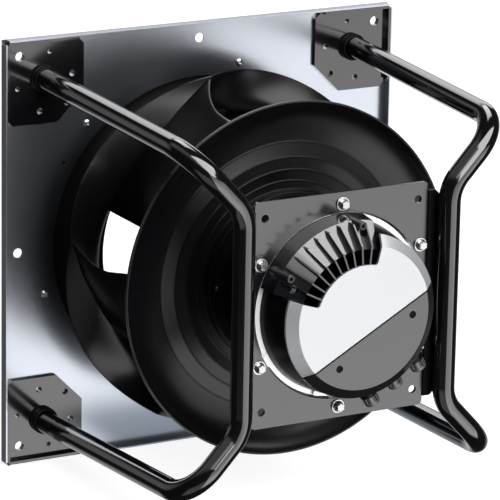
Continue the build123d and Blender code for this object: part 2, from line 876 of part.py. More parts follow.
def hub_screws():
    """Screws that hold the back plate to the rotor flange, from the blade side."""
    seat = rotor_flange_y + hub_ring_wall
    screws = []
    for angle in ring_angles(hub_screw_count, 0):
        x, z = polar(hub_screw_circle_r, angle)
        head = disc(hub_screw_head_r, seat + hub_screw_head, hub_screw_head, x, z)
        head = fillet(head.edges().group_by(Axis.Y)[-1], hub_screw_head / 2)
        screws.append(head + disc(hub_screw_r, seat, hub_ring_wall + rotor_flange, x, z))
    return group(screws)


def notch(grow, y, depth):
    """Space that the heat sink takes out of the round housing."""
    start = notch_start - degrees(grow / notch_r)
    end = notch_end + degrees(grow / notch_r)
    return wedge(notch_r - grow, 1.4 * housing_foot_r, start, end, y, depth)


def terminal_half(grow):
    """Half plane beyond the chord, on the side of the glands."""
    reach = 2 * housing_foot_r
    centre = chord_offset - grow + reach / 2
    x, z = polar(centre, terminal_angle)
    return Pos(x, z) * Rot(0, 0, terminal_angle) * Rectangle(reach, 2 * reach)


def across_terminal(along, sideways):
    """Place given along the terminal direction and sideways to it."""
    ax, az = polar(along, terminal_angle)
    sx, sz = polar(sideways, terminal_angle + 90)
    return ax + sx, az + sz


def gland_offsets():
    return [gland_shift + (i - (gland_count - 1) / 2) * gland_pitch for i in range(gland_count)]


def gland_solid(r, start, length, sideways):
    """Cylinder that points out of the housing along the terminal direction."""
    x, z = across_terminal(start, sideways)
    outward = Vector(cos(radians(terminal_angle)), 0, sin(radians(terminal_angle)))
    plane = Plane(origin=(x, gland_y, z), x_dir=(0, 1, 0), z_dir=outward)
    return extrude(plane * Circle(r), amount=length)


def electronics_housing():
    """Cast cup on the stator flange, with a notch for the heat sink and bosses for the glands."""
    top = motor_plate_y
    height = top - housing_rim_y
    cup = spun([(0, top), (housing_foot_r, top), (housing_rim_r, housing_rim_y), (0, housing_rim_y)])
    for sideways in gland_offsets():
        cup += gland_solid(gland_boss_r, notch_r, gland_face - notch_r, sideways)
    cup -= notch(0, top + 1, height + 2)
    space = spun([
        (0, floor_top), (housing_foot_r - housing_wall, floor_top),
        (housing_rim_r - housing_wall, housing_rim_y - 1), (0, housing_rim_y - 1),
    ])
    space -= notch(housing_wall, floor_top + 1, height + 2)
    cup -= space
    for sideways in gland_offsets():
        cup -= gland_solid(gland_thread_r + seat_gap, notch_r, gland_face, sideways)
    for angle in post_angles:
        x, z = polar(post_circle_r, angle)
        cup += disc(post_r, floor_top, floor_top - board_y, x, z)
        cup -= disc(board_screw_r + seat_gap, board_y + board_screw_depth, height, x, z)
    skirt_y = housing_rim_y - gasket
    for sideways in (-terminal_screw_chord, terminal_screw_chord):
        x, z = across_terminal(terminal_screw_offset, sideways)
        cup += disc(terminal_post_r, floor_top, floor_top - skirt_y, x, z)
        cup -= disc(terminal_screw_r + seat_gap, skirt_y + terminal_screw_reach, height, x, z)
    return cup


def housing_gasket():
    """Flat seal between the rim of the housing and the two covers."""
    ring = tube(housing_rim_r - gasket_inset, housing_rim_r - gasket_width, housing_rim_y, gasket)
    return ring - notch(0, housing_rim_y + 1, gasket + 2)


def cover_blank(face_y, face_r, wall):
    """Round cover with a bevelled edge, hollow below."""
    skirt_y = housing_rim_y - gasket
    slope = wall * 0.6
    return spun([
        (0, face_y), (face_r, face_y), (housing_rim_r, cap_edge_y), (housing_rim_r, skirt_y),
        (housing_rim_r - wall, skirt_y), (housing_rim_r - wall, cap_edge_y + slope),
        (face_r - slope, face_y + wall), (0, face_y + wall),
    ])


def electronics_cap():
    """Bright cover with a bevelled edge, cut by the chord and by the notch of the heat sink."""
    cap = cover_blank(cap_face_y, cap_face_r, cap_wall)
    deep = 2 * (housing_rim_y - cap_face_y)
    hole = notch(0, housing_rim_y + 1, deep)
    inner_corners = hole.edges().filter_by(Axis.Y).sort_by(lambda e: hypot(e.center().X, e.center().Z))[:2]
    cap -= fillet(inner_corners, notch_fillet)
    cap -= slab(terminal_half(0), housing_rim_y + 1, deep)
    return cap


def terminal_cover():
    """Flat cover over the terminals, beyond the chord."""
    skirt_y = housing_rim_y - gasket
    cover = cover_blank(terminal_face_y, terminal_face_r, terminal_wall)
    deep = 2 * (housing_rim_y - cap_face_y)
    cover = cover & slab(terminal_half(-split_gap), housing_rim_y + 1, deep)
    for sideways in (-terminal_screw_chord, terminal_screw_chord):
        x, z = across_terminal(terminal_screw_offset, sideways)
        cover += disc(terminal_post_r, skirt_y, skirt_y - terminal_face_y, x, z)
        seat = terminal_face_y + terminal_screw_depth
        cover -= disc(terminal_screw_head_r + screw_gap, seat, 2 * terminal_screw_depth, x, z)
        cover -= disc(terminal_screw_r + screw_gap, 0, -2 * cap_face_y, x, z)
    return cover


def terminal_screws():
    """Sunk screws of the terminal cover."""
    screws = []
    seat = terminal_face_y + terminal_screw_depth
    skirt_y = housing_rim_y - gasket
    for sideways in (-terminal_screw_chord, terminal_screw_chord):
        x, z = across_terminal(terminal_screw_offset, sideways)
        screw = disc(terminal_screw_head_r, seat, terminal_screw_depth / 2, x, z)
        tip_y = skirt_y + terminal_screw_reach
        screw += disc(terminal_screw_r, tip_y, tip_y - seat, x, z)
        screws.append(screw)
    return group(screws)


def heat_sink():
    """Cast block in the notch, with a sloping shoulder, deep pockets and thin radial fins."""
    inner_r = notch_r + sink_gap
    block = spun([
        (inner_r, motor_plate_y), (sink_foot_r, motor_plate_y), (sink_edge_r, sink_edge_y),
        (sink_ridge_r, sink_ridge_y), (sink_ridge_r, sink_pocket_y), (inner_r, sink_pocket_y),
    ])
    for angle in [fin_first_angle + fin_pitch * i for i in range(fin_count)]:
        side = make_face(Polyline(
            (inner_r, sink_pocket_y + 1), (inner_r, cap_face_y), (cap_face_r, cap_face_y),
            (fin_outer_r, fin_outer_y), (fin_outer_r, sink_edge_y + 2), (sink_ridge_r, sink_pocket_y + 1),
            close=True,
        ))
        fin = extrude(Plane.XY * side, amount=fin_wall / 2, both=True)
        block += turned(fin, angle)
    trim = degrees(sink_gap / notch_r)
    space = wedge(1, 2 * sink_foot_r, notch_start + trim, notch_end - trim, 0, -2 * cap_face_y)
    block = block & space
    for angle in stud_angles:
        block -= disc(stud_r + screw_gap, 0, -2 * cap_face_y, *polar(stud_circle_r, angle))
    x, z = polar(sink_screw_place_r, sink_screw_angle)
    block -= disc(sink_screw_seat_r, sink_screw_seat_y, -cap_face_y, x, z)
    block -= disc(sink_screw_r + seat_gap, sink_screw_seat_y + sink_screw_reach, -cap_face_y, x, z)
    return block


def sink_studs():
    """Round studs beside the heat sink, with a socket in the end."""
    studs = []
    for angle in stud_angles:
        x, z = polar(stud_circle_r, angle)
        stud = disc(stud_r, motor_plate_y, motor_plate_y - stud_end_y, x, z)
        stud = chamfer(stud.edges().group_by(Axis.Y)[0], stud_r / 6)
        socket = Pos(x, z) * RegularPolygon(stud_socket_r, 6)
        studs.append(stud - slab(socket, stud_end_y + stud_socket_depth, 2 * stud_socket_depth))
    return group(studs)


def sink_screw():
    """Small pan-head screw on the shoulder of the heat sink, at the end of its last fin."""
    x, z = polar(sink_screw_place_r, sink_screw_angle)
    head = disc(sink_screw_head_r, sink_screw_seat_y, sink_screw_head, x, z)
    head = fillet(head.edges().group_by(Axis.Y)[0], sink_screw_head / 3)
    length = sink_screw_reach + sink_screw_head / 2
    return head + disc(sink_screw_r, sink_screw_seat_y + sink_screw_reach, length, x, z)


def gland_nuts():
    """Ribbed round nuts screwed into the bosses."""
    nuts = []
    for sideways in gland_offsets():
        nut = gland_solid(gland_r - gland_rib_r, gland_face, gland_nut, sideways)
        x, z = across_terminal(gland_face, sideways)
        outward = Vector(cos(radians(terminal_angle)), 0, sin(radians(terminal_angle)))
        plane = Plane(origin=(x, gland_y, z), x_dir=(0, 1, 0), z_dir=outward)
        for rib in ring_angles(gland_rib_count, 0):
            bump = Pos(*polar(gland_r - gland_rib_r, rib)) * Circle(gland_rib_r)
            nut += extrude(plane * bump, amount=gland_nut)
        nut += gland_solid(gland_thread_r, gland_face - 2 * housing_wall, 2 * housing_wall, sideways)
        nuts.append(nut)
    return group(nuts)


def gland_plugs():
    """Smooth blind plugs that close the glands."""
    plugs = []
    for sideways in gland_offsets():
        plug = gland_solid(gland_r - gland_rib_r, gland_face + gland_nut, gland_cap, sideways)
        outward = Axis((0, 0, 0), (cos(radians(terminal_angle)), 0, sin(radians(terminal_angle))))
        plugs.append(fillet(plug.edges().group_by(outward)[-1], gland_cap / 3))
    return group(plugs)


def circuit_board():
    """Round board on the posts of the housing, cut back behind the heat sink."""
    board = disc(board_r, board_y, board_wall)
    board -= notch(housing_wall + board_sink_gap, board_y + board_wall, 3 * board_wall)
    for angle in post_angles:
        board -= disc(board_screw_r + screw_gap, board_y + 1, board_wall + 2, *polar(post_circle_r, angle))
    for sideways in (-terminal_screw_chord, terminal_screw_chord):
        x, z = across_terminal(terminal_screw_offset, sideways)
        board -= disc(terminal_post_r + board_post_gap, board_y + 1, board_wall + 2, x, z)
    return board


def board_screws():
    seat = board_y - board_wall
    screws = []
    for angle in post_angles:
        x, z = polar(post_circle_r, angle)
        screw = disc(board_screw_head_r, seat, board_screw_head, x, z)
        tip_y = board_y + board_screw_depth
        screws.append(screw + disc(board_screw_r, tip_y, tip_y - seat, x, z))
    return group(screws)


def capacitors():
    """Upright capacitors on the board."""
    seat = board_y - board_wall
    cans = []
    for i in (-1, 0, 1):
        can = disc(capacitor_r, seat, capacitor_length, i * capacitor_spacing, 0)
        cans.append(fillet(can.edges().group_by(Axis.Y)[0], capacitor_edge_r))
    return group(cans)


def choke():
    """Ring core choke on the board."""
    seat = board_y - board_wall
    x, z = polar(choke_place_r, choke_angle)
    core = tube(choke_r, choke_bore_r, seat, choke_height, x, z)
    return chamfer(core.edges().group_by(Axis.Y)[0], choke_edge)


def terminal_block():
    """Screw terminal block under the terminal cover."""
    seat = board_y - board_wall
    x, z = across_terminal(terminal_screw_offset + terminal_block_width, 0)
    outline = Pos(x, z) * Rot(0, 0, terminal_angle) * Rectangle(terminal_block_width, terminal_block_length)
    block = slab(outline, seat, terminal_block_height)
    hole_seat = seat - terminal_block_height + terminal_hole_depth
    for i in range(terminal_count):
        sideways = (i - (terminal_count - 1) / 2) * terminal_pitch
        hole_x, hole_z = across_terminal(terminal_screw_offset + terminal_block_width, sideways)
        block -= disc(terminal_hole_r, hole_seat, 2 * terminal_hole_depth, hole_x, hole_z)
    return block


def build():
    shroud = impeller_shroud()
    back_plate = impeller_back_plate()
    return {
        "nozzle_plate": nozzle_plate(),
        "inlet_nozzle": inlet_nozzle(),
        "nozzle_rivets": nozzle_rivets(),
        "bracket_top_left": corner_bracket(-1, 1),
        "bracket_top_right": corner_bracket(1, 1),
        "bracket_bottom_left": corner_bracket(-1, -1),
        "bracket_bottom_right": corner_bracket(1, -1),
        "tube_collars": tube_collars(),
        "tube_frame_left": tube_frame(-1),
        "tube_frame_right": tube_frame(1),
        "side_bars": side_bars(),
        "motor_plate": motor_plate(),
        "flange_washers": flange_washers(),
        "flange_screws": flange_screws(),
        "stator_flange": stator_flange(),
        "stator_core": stator_core(),
        "stator_coils": stator_coils(),
        "bearing_outer_rings": bearing_outer_rings(),
        "spacer_sleeve": spacer_sleeve(),
        "electronics_housing": electronics_housing(),
        "heat_sink": heat_sink(),
        "sink_studs": sink_studs(),
        "sink_screw": sink_screw(),
        "housing_gasket": housing_gasket(),
        "electronics_cap": electronics_cap(),
        "terminal_cover": terminal_cover(),
        "terminal_screws": terminal_screws(),
        "gland_nuts": gland_nuts(),
        "gland_plugs": gland_plugs(),
        "circuit_board": circuit_board(),
        "board_screws": board_screws(),
        "capacitors": capacitors(),
        "choke": choke(),
        "terminal_block": terminal_block(),
        "shaft": shaft(),
        "bearing_inner_rings": bearing_inner_rings(),
        "retaining_ring": retaining_ring_clip(),
        "rotor_bell": rotor_bell(),
        "rotor_magnets": rotor_magnets(),
        "impeller_back_plate": back_plate,
        "impeller_blades": impeller_blades(shroud, back_plate),
        "impeller_shroud": shroud,
        "hub_screws": hub_screws(),
    }


if __name__ == "__main__":
    os.makedirs("parts", exist_ok=True)
    for name, shape in build().items():
        export_step(shape, f"parts/{name}.step")
        print(name, "volume", round(shape.volume))
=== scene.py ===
import bmesh
import bpy
import json
from math import atan2, cos, degrees, hypot, log, pi, radians, sin, tan
from mathutils import Matrix, Vector


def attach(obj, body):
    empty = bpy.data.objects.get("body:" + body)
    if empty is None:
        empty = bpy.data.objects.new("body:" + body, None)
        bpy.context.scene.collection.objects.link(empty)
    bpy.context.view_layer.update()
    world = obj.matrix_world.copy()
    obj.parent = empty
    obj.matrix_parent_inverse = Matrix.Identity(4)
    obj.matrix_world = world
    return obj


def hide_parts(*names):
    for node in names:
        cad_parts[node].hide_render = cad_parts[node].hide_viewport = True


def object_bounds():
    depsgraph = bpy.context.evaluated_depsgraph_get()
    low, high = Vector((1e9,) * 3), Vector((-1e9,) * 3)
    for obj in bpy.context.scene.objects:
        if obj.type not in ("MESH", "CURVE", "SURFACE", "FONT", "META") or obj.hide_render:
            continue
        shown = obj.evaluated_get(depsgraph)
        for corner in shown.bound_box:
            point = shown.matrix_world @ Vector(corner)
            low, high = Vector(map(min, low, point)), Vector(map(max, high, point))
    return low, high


bl_info = {
    "name": "Plug fan",
    "version": (1, 0, 0),
    "blender": (4, 5, 0),
    "location": "3D View > Sidebar > Plug fan",
    "description": "Dresses the packed plug fan with finished shapes and materials",
    "category": "Object",
}

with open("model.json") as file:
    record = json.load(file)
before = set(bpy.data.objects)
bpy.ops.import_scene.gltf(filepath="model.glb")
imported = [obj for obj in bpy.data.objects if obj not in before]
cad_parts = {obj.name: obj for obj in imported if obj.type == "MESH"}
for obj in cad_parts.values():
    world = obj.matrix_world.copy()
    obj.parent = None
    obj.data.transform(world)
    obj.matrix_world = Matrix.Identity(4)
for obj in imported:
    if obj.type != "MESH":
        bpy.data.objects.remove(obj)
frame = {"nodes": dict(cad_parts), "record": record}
cad_low, cad_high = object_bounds()

MM = 0.001
STATIC = "frame"
TURNING = "rotor"


# Sizes and colours that a user would change


def length(name, description, default):
    return bpy.props.FloatProperty(name=name, description=description, default=default * MM,
                                   min=0.0, unit="LENGTH", subtype="DISTANCE", precision=5)


def tint(name, description, value):
    return bpy.props.FloatVectorProperty(name=name, description=description, default=value,
                                         size=3, min=0.0, max=1.0, subtype="COLOR")


class FrameSizes(bpy.types.PropertyGroup):
    tube_radius: length("Tube radius", "Outer radius of the bent tubes", 12.4)
    bend_radius: length("Bend radius", "Radius of the tube bends at their middle line", 44.3)
    edge_break: length("Edge break", "Width of the broken edges on folded sheet and plate", 0.5)


class ImpellerSizes(bpy.types.PropertyGroup):
    blades: bpy.props.IntProperty(name="Blades", description="Number of impeller blades", default=5, min=3)
    wall: length("Cover wall", "Wall of the wavy cover disc", 3.0)


class MotorSizes(bpy.types.PropertyGroup):
    screw_circle: length("Screw circle", "Radius of the circle of motor screws", 114.9)
    lobes: bpy.props.IntProperty(name="Screw lobes", description="Lobes of a screw head", default=6, min=3)
    screw_count: bpy.props.IntProperty(name="Screws", description="Number of motor screws", default=6, min=3)


class Finishes(bpy.types.PropertyGroup):
    paint: tint("Black paint", "Colour of the painted frame", (0.0025, 0.0025, 0.003))
    plastic: tint("Impeller", "Colour of the moulded impeller", (0.0025, 0.0025, 0.003))
    zinc: tint("Zinc", "Colour of the galvanised sheet", (0.40, 0.42, 0.46))
    silver: tint("Cap", "Colour of the silver cap", (0.43, 0.44, 0.455))
    cover: tint("Terminal cover", "Colour of the terminal cover", (0.006, 0.006, 0.0065))
    floor: tint("Floor", "Colour of the studio floor", (0.30, 0.30, 0.30))


# Mesh helpers


def polar(r, angle):
    return r * cos(radians(angle)), r * sin(radians(angle))


def rounded(points, radius, steps=4):
    """Closed outline with every corner rounded, as far as its edges are long enough."""
    result = []
    for i, point in enumerate(points):
        corner = Vector(point)
        before = Vector(points[i - 1]) - corner
        after = Vector(points[(i + 1) % len(points)]) - corner
        turn = before.angle(after)
        if turn > radians(178):
            result.append(corner)
            continue
        cut = min(radius / tan(turn / 2), before.length * 0.45, after.length * 0.45)
        a = corner + before.normalized() * cut
        b = corner + after.normalized() * cut
        for k in range(steps + 1):
            t = k / steps
            result.append(a * (1 - t) ** 2 + corner * 2 * t * (1 - t) + b * t * t)
    return [tuple(p) for p in result]


def turned_faces(outline, steps):
    """Vertices and faces of a closed outline in radius and y, turned about the fan axis."""
    verts = []
    for i in range(steps):
        angle = 2 * pi * i / steps
        verts += [(r * cos(angle) * MM, y * MM, r * sin(angle) * MM) for r, y in outline]
    n = len(outline)
    faces = []
    for i in range(steps):
        j = (i + 1) % steps
        for k in range(n):
            m = (k + 1) % n
            faces.append((i * n + k, i * n + m, j * n + m, j * n + k))
    return verts, faces


def cleaned(mesh, merge=0.002):
    """Doubles merged, empty faces removed and normals turned outwards."""
    bm = bmesh.new()
    bm.from_mesh(mesh)
    bmesh.ops.remove_doubles(bm, verts=bm.verts, dist=merge * MM)
    bmesh.ops.dissolve_degenerate(bm, edges=bm.edges, dist=merge * MM)
    bmesh.ops.recalc_face_normals(bm, faces=bm.faces)
    bm.to_mesh(mesh)
    bm.free()
    return mesh


def shape(name, verts, faces):
    mesh = bpy.data.meshes.new(name)
    mesh.from_pydata(verts, [], faces)
    obj = bpy.data.objects.new(name, cleaned(mesh))
    bpy.context.scene.collection.objects.link(obj)
    return obj


def turned_shape(name, outline, steps):
    return shape(name, *turned_faces(outline, steps))


def settle(obj):
    """Modifiers worked into a plain mesh."""
    graph = bpy.context.evaluated_depsgraph_get()
    graph.update()
    mesh = bpy.data.meshes.new_from_object(obj.evaluated_get(graph), depsgraph=graph)
    obj.modifiers.clear()
    old = obj.data
    obj.data = mesh
    mesh.name = obj.name
    if old.users == 0:
        bpy.data.meshes.remove(old)
    return obj


def edge_break(obj, width, segments=2, angle=32):
    """Small round on every sharp edge, with flat faces kept flat in the light."""
    if width > 0:
        bevel = obj.modifiers.new("edge break", "BEVEL")
        bevel.width = width * MM
        bevel.segments = segments
        bevel.limit_method = "ANGLE"
        bevel.angle_limit = radians(angle)
        bevel.use_clamp_overlap = True
        settle(obj)
    obj.data.shade_smooth()
    obj.data.set_sharp_from_angle(angle=radians(50))
    level = obj.modifiers.new("even shading", "WEIGHTED_NORMAL")
    level.keep_sharp = True
    level.weight = 80
    return settle(obj)


def dissolved(obj, angle=0.5):
    """Flat areas joined into single faces, so that edges can be broken cleanly."""
    bm = bmesh.new()
    bm.from_mesh(obj.data)
    bmesh.ops.dissolve_limit(bm, angle_limit=radians(angle), verts=bm.verts, edges=bm.edges)
    bm.to_mesh(obj.data)
    bm.free()
    return obj


def copied(name, node):
    """Copy of a solid from the frame, with its loose triangles merged."""
    obj = bpy.data.objects.new(name, frame["nodes"][node].data.copy())
    obj.data.name = name
    obj.data.materials.clear()
    bpy.context.scene.collection.objects.link(obj)
    bm = bmesh.new()
    bm.from_mesh(obj.data)
    bmesh.ops.remove_doubles(bm, verts=bm.verts, dist=0.001 * MM)
    bm.to_mesh(obj.data)
    bm.free()
    for layer in list(obj.data.uv_layers):
        obj.data.uv_layers.remove(layer)
    return obj


def place(obj, body, slot, material, *nodes):
    """Finished piece put on its body, in its material and in place of its solids."""
    obj.data.materials.clear()
    obj.data.materials.append(material)
    for polygon in obj.data.polygons:
        polygon.material_index = 0
    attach(obj, body)
    if nodes:
        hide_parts(*nodes)
    return obj


# Geometry node trees


def new_tree(name, sockets):
    tree = bpy.data.node_groups.new(name, "GeometryNodeTree")
    tree.interface.new_socket("Geometry", in_out="INPUT", socket_type="NodeSocketGeometry")
    for label, kind, default in sockets:
        socket = tree.interface.new_socket(label, in_out="INPUT", socket_type="NodeSocket" + kind)
        if default is not None:
            socket.default_value = default
    tree.interface.new_socket("Geometry", in_out="OUTPUT", socket_type="NodeSocketGeometry")
    return tree


def add_node(tree, kind, **settings):
    """Node of a tree; 'values' holds a value or a socket to link for each of its inputs."""
    values = settings.pop("values", {})
    node = tree.nodes.new(kind)
    for key, value in settings.items():
        setattr(node, key, value)
    for key, value in values.items():
        if isinstance(value, bpy.types.NodeSocket):
            tree.links.new(value, node.inputs[key])
        else:
            node.inputs[key].default_value = value
    return node


def calc(tree, operation, a, b=0.0):
    return add_node(tree, "ShaderNodeMath", operation=operation, values={0: a, 1: b}).outputs[0]


def ring_tree():
    """Copies of one piece set round the fan axis, each turned to face outwards."""
    tree = new_tree("ring of pieces", [
        ("Piece", "Object", None), ("Count", "Int", 6), ("Radius", "Float", 0.1),
        ("First angle", "Float", 0.0), ("Step", "Float", 60.0), ("Height", "Float", 0.0),
        ("Merge", "Float", 0.0), ("Finish", "Material", None),
    ])
    given = add_node(tree, "NodeGroupInput").outputs
    line = add_node(tree, "GeometryNodeMeshLine", values={"Count": given["Count"], "Offset": (0, 0, 0)})
    index = add_node(tree, "GeometryNodeInputIndex").outputs[0]
    steps = calc(tree, "MULTIPLY", index, given["Step"])
    angle = calc(tree, "RADIANS", calc(tree, "ADD", given["First angle"], steps))
    spot = add_node(tree, "ShaderNodeCombineXYZ", values={
        "X": calc(tree, "MULTIPLY", calc(tree, "COSINE", angle), given["Radius"]),
        "Y": given["Height"],
        "Z": calc(tree, "MULTIPLY", calc(tree, "SINE", angle), given["Radius"]),
    })
    moved = add_node(tree, "GeometryNodeSetPosition", values={
        "Geometry": line.outputs["Mesh"], "Position": spot.outputs[0]})
    turn = add_node(tree, "ShaderNodeCombineXYZ", values={"Y": calc(tree, "MULTIPLY", angle, -1.0)})
    piece = add_node(tree, "GeometryNodeObjectInfo", values={"Object": given["Piece"], "As Instance": True})
    copies = add_node(tree, "GeometryNodeInstanceOnPoints", values={
        "Points": moved.outputs[0], "Instance": piece.outputs["Geometry"], "Rotation": turn.outputs[0]})
    real = add_node(tree, "GeometryNodeRealizeInstances", values={"Geometry": copies.outputs[0]})
    merged = add_node(tree, "GeometryNodeMergeByDistance", values={
        "Geometry": real.outputs[0], "Distance": given["Merge"]})
    pick = add_node(tree, "GeometryNodeSwitch", input_type="GEOMETRY", values={
        "Switch": calc(tree, "GREATER_THAN", given["Merge"], 0.0),
        "False": real.outputs[0], "True": merged.outputs[0]})
    coat = add_node(tree, "GeometryNodeSetMaterial", values={
        "Geometry": pick.outputs[0], "Material": given["Finish"]})
    add_node(tree, "NodeGroupOutput", values={0: coat.outputs[0]})
    return tree


BEND_STEPS = 24


def pipe_tree():
    """Bent tube: a route with its corners rounded, swept with a round section."""
    tree = new_tree("bent tube", [
        ("Tube radius", "Float", 0.01), ("Bend radius", "Float", 0.04), ("Sides", "Int", 48),
        ("Finish", "Material", None),
    ])
    given = add_node(tree, "NodeGroupInput").outputs
    route = add_node(tree, "GeometryNodeMeshToCurve", values={"Mesh": given["Geometry"]})
    bent = add_node(tree, "GeometryNodeFilletCurve", mode="POLY", values={
        "Curve": route.outputs[0], "Count": BEND_STEPS, "Radius": given["Bend radius"]})
    section = add_node(tree, "GeometryNodeCurvePrimitiveCircle", mode="RADIUS", values={
        "Resolution": given["Sides"], "Radius": given["Tube radius"]})
    skin = add_node(tree, "GeometryNodeCurveToMesh", values={
        "Curve": bent.outputs[0], "Profile Curve": section.outputs[0], "Fill Caps": True})
    real = add_node(tree, "GeometryNodeRealizeInstances", values={"Geometry": skin.outputs[0]})
    coat = add_node(tree, "GeometryNodeSetMaterial", values={
        "Geometry": real.outputs[0], "Material": given["Finish"]})
    add_node(tree, "NodeGroupOutput", values={0: coat.outputs[0]})
    return tree


TREES = {}


def run_tree(obj, make, **values):
    """Runs a node tree on an object and turns the result into a plain mesh."""
    if make.__name__ not in TREES:
        TREES[make.__name__] = make()
    tree = TREES[make.__name__]
    modifier = obj.modifiers.new("nodes", "NODES")
    modifier.node_group = tree
    ids = {item.name: item.identifier for item in tree.interface.items_tree if item.in_out == "INPUT"}
    for key, value in values.items():
        modifier[ids[key.replace("_", " ")]] = value
    obj.data.update()
    return settle(obj)


def ring(name, piece, **values):
    """One piece repeated round the fan axis; the single piece is taken away afterwards."""
    holder = bpy.data.objects.new(name, bpy.data.meshes.new(name))
    bpy.context.scene.collection.objects.link(holder)
    result = run_tree(holder, ring_tree, Piece=piece, **values)
    bpy.data.objects.remove(piece)
    return result


# Materials


GROUPS = {}


def shader_group(name, sockets, outputs):
    tree = bpy.data.node_groups.new(name, "ShaderNodeTree")
    for label, kind, default in sockets:
        socket = tree.interface.new_socket(label, in_out="INPUT", socket_type="NodeSocket" + kind)
        socket.default_value = default
    for label, kind in outputs:
        tree.interface.new_socket(label, in_out="OUTPUT", socket_type="NodeSocket" + kind)
    return tree


def surface_grain():
    """Fine moulded or painted grain with a slow drift in colour and gloss."""
    tree = shader_group(
        "surface grain",
        [("Color", "Color", (0.5, 0.5, 0.5, 1)), ("Roughness", "Float", 0.4), ("Grain size", "Float", 2500.0),
         ("Colour drift", "Float", 0.1), ("Gloss drift", "Float", 0.1), ("Speckle", "Float", 0.0)],
        [("Color", "Color"), ("Roughness", "Float"), ("Height", "Float")],
    )
    given = add_node(tree, "NodeGroupInput").outputs
    place_at = add_node(tree, "ShaderNodeTexCoord").outputs["Object"]
    fine = add_node(tree, "ShaderNodeTexNoise", values={
        "Vector": place_at, "Scale": given["Grain size"], "Detail": 3.0}).outputs[0]
    slow = add_node(tree, "ShaderNodeTexNoise", values={
        "Vector": place_at, "Scale": 14.0, "Detail": 4.0}).outputs[0]
    drift = calc(tree, "MULTIPLY", calc(tree, "SUBTRACT", slow, 0.5), given["Colour drift"])
    speckle = calc(tree, "MULTIPLY", calc(tree, "SUBTRACT", fine, 0.5), given["Speckle"])
    level = calc(tree, "ADD", calc(tree, "ADD", drift, speckle), 1.0)
    colour = add_node(tree, "ShaderNodeVectorMath", operation="SCALE", values={
        0: given["Color"], "Scale": level}).outputs[0]
    gloss = calc(tree, "MULTIPLY", calc(tree, "SUBTRACT", slow, 0.5), given["Gloss drift"])
    rough = calc(tree, "ADD", given["Roughness"], gloss)
    add_node(tree, "NodeGroupOutput", values={0: colour, 1: rough, 2: fine})
    return tree


def zinc_flakes():
    """Soft flakes and rolling marks of a galvanised sheet."""
    tree = shader_group(
        "zinc flakes",
        [("Color", "Color", (0.6, 0.6, 0.65, 1)), ("Roughness", "Float", 0.35),
         ("Flake size", "Float", 120.0), ("Contrast", "Float", 0.06)],
        [("Color", "Color"), ("Roughness", "Float"), ("Height", "Float")],
    )
    given = add_node(tree, "NodeGroupInput").outputs
    place_at = add_node(tree, "ShaderNodeTexCoord").outputs["Object"]
    flakes = add_node(tree, "ShaderNodeTexVoronoi", values={
        "Vector": place_at, "Scale": given["Flake size"]}).outputs["Color"]
    flake = add_node(tree, "ShaderNodeSeparateColor", values={0: flakes}).outputs[0]
    soft = add_node(tree, "ShaderNodeTexNoise", values={
        "Vector": place_at, "Scale": 9.0, "Detail": 3.0}).outputs[0]
    mixed = calc(tree, "ADD", calc(tree, "MULTIPLY", flake, 0.5), calc(tree, "MULTIPLY", soft, 0.5))
    swing = calc(tree, "MULTIPLY", calc(tree, "SUBTRACT", mixed, 0.5), given["Contrast"])
    level = calc(tree, "ADD", swing, 1.0)
    colour = add_node(tree, "ShaderNodeVectorMath", operation="SCALE", values={
        0: given["Color"], "Scale": level}).outputs[0]
    gloss = calc(tree, "MULTIPLY", calc(tree, "SUBTRACT", soft, 0.5), 0.03)
    rough = calc(tree, "ADD", given["Roughness"], gloss)
    add_node(tree, "NodeGroupOutput", values={0: colour, 1: rough, 2: flake})
    return tree


def material(name, group, colour, bump, metallic=0.0, coat=0.0, coat_roughness=0.1, specular=0.5, **values):
    """Principled material whose colour, gloss and relief come from a shader group."""
    if group.__name__ not in GROUPS:
        GROUPS[group.__name__] = group()
    made = bpy.data.materials.new(name)
    made.use_nodes = True
    tree = made.node_tree
    shader = tree.nodes["Principled BSDF"]
    shader.inputs["Metallic"].default_value = metallic
    shader.inputs["Coat Weight"].default_value = coat
    shader.inputs["Coat Roughness"].default_value = coat_roughness
    shader.inputs["Specular IOR Level"].default_value = specular
    effect = add_node(tree, "ShaderNodeGroup", node_tree=GROUPS[group.__name__])
    effect.inputs["Color"].default_value = (*colour, 1)
    for key, value in values.items():
        effect.inputs[key.replace("_", " ")].default_value = value
    relief = add_node(tree, "ShaderNodeBump", values={
        "Height": effect.outputs["Height"], "Strength": bump, "Distance": 0.0002})
    tree.links.new(effect.outputs["Color"], shader.inputs["Base Color"])
    tree.links.new(effect.outputs["Roughness"], shader.inputs["Roughness"])
    tree.links.new(relief.outputs[0], shader.inputs["Normal"])
    return made


MATERIALS = {}


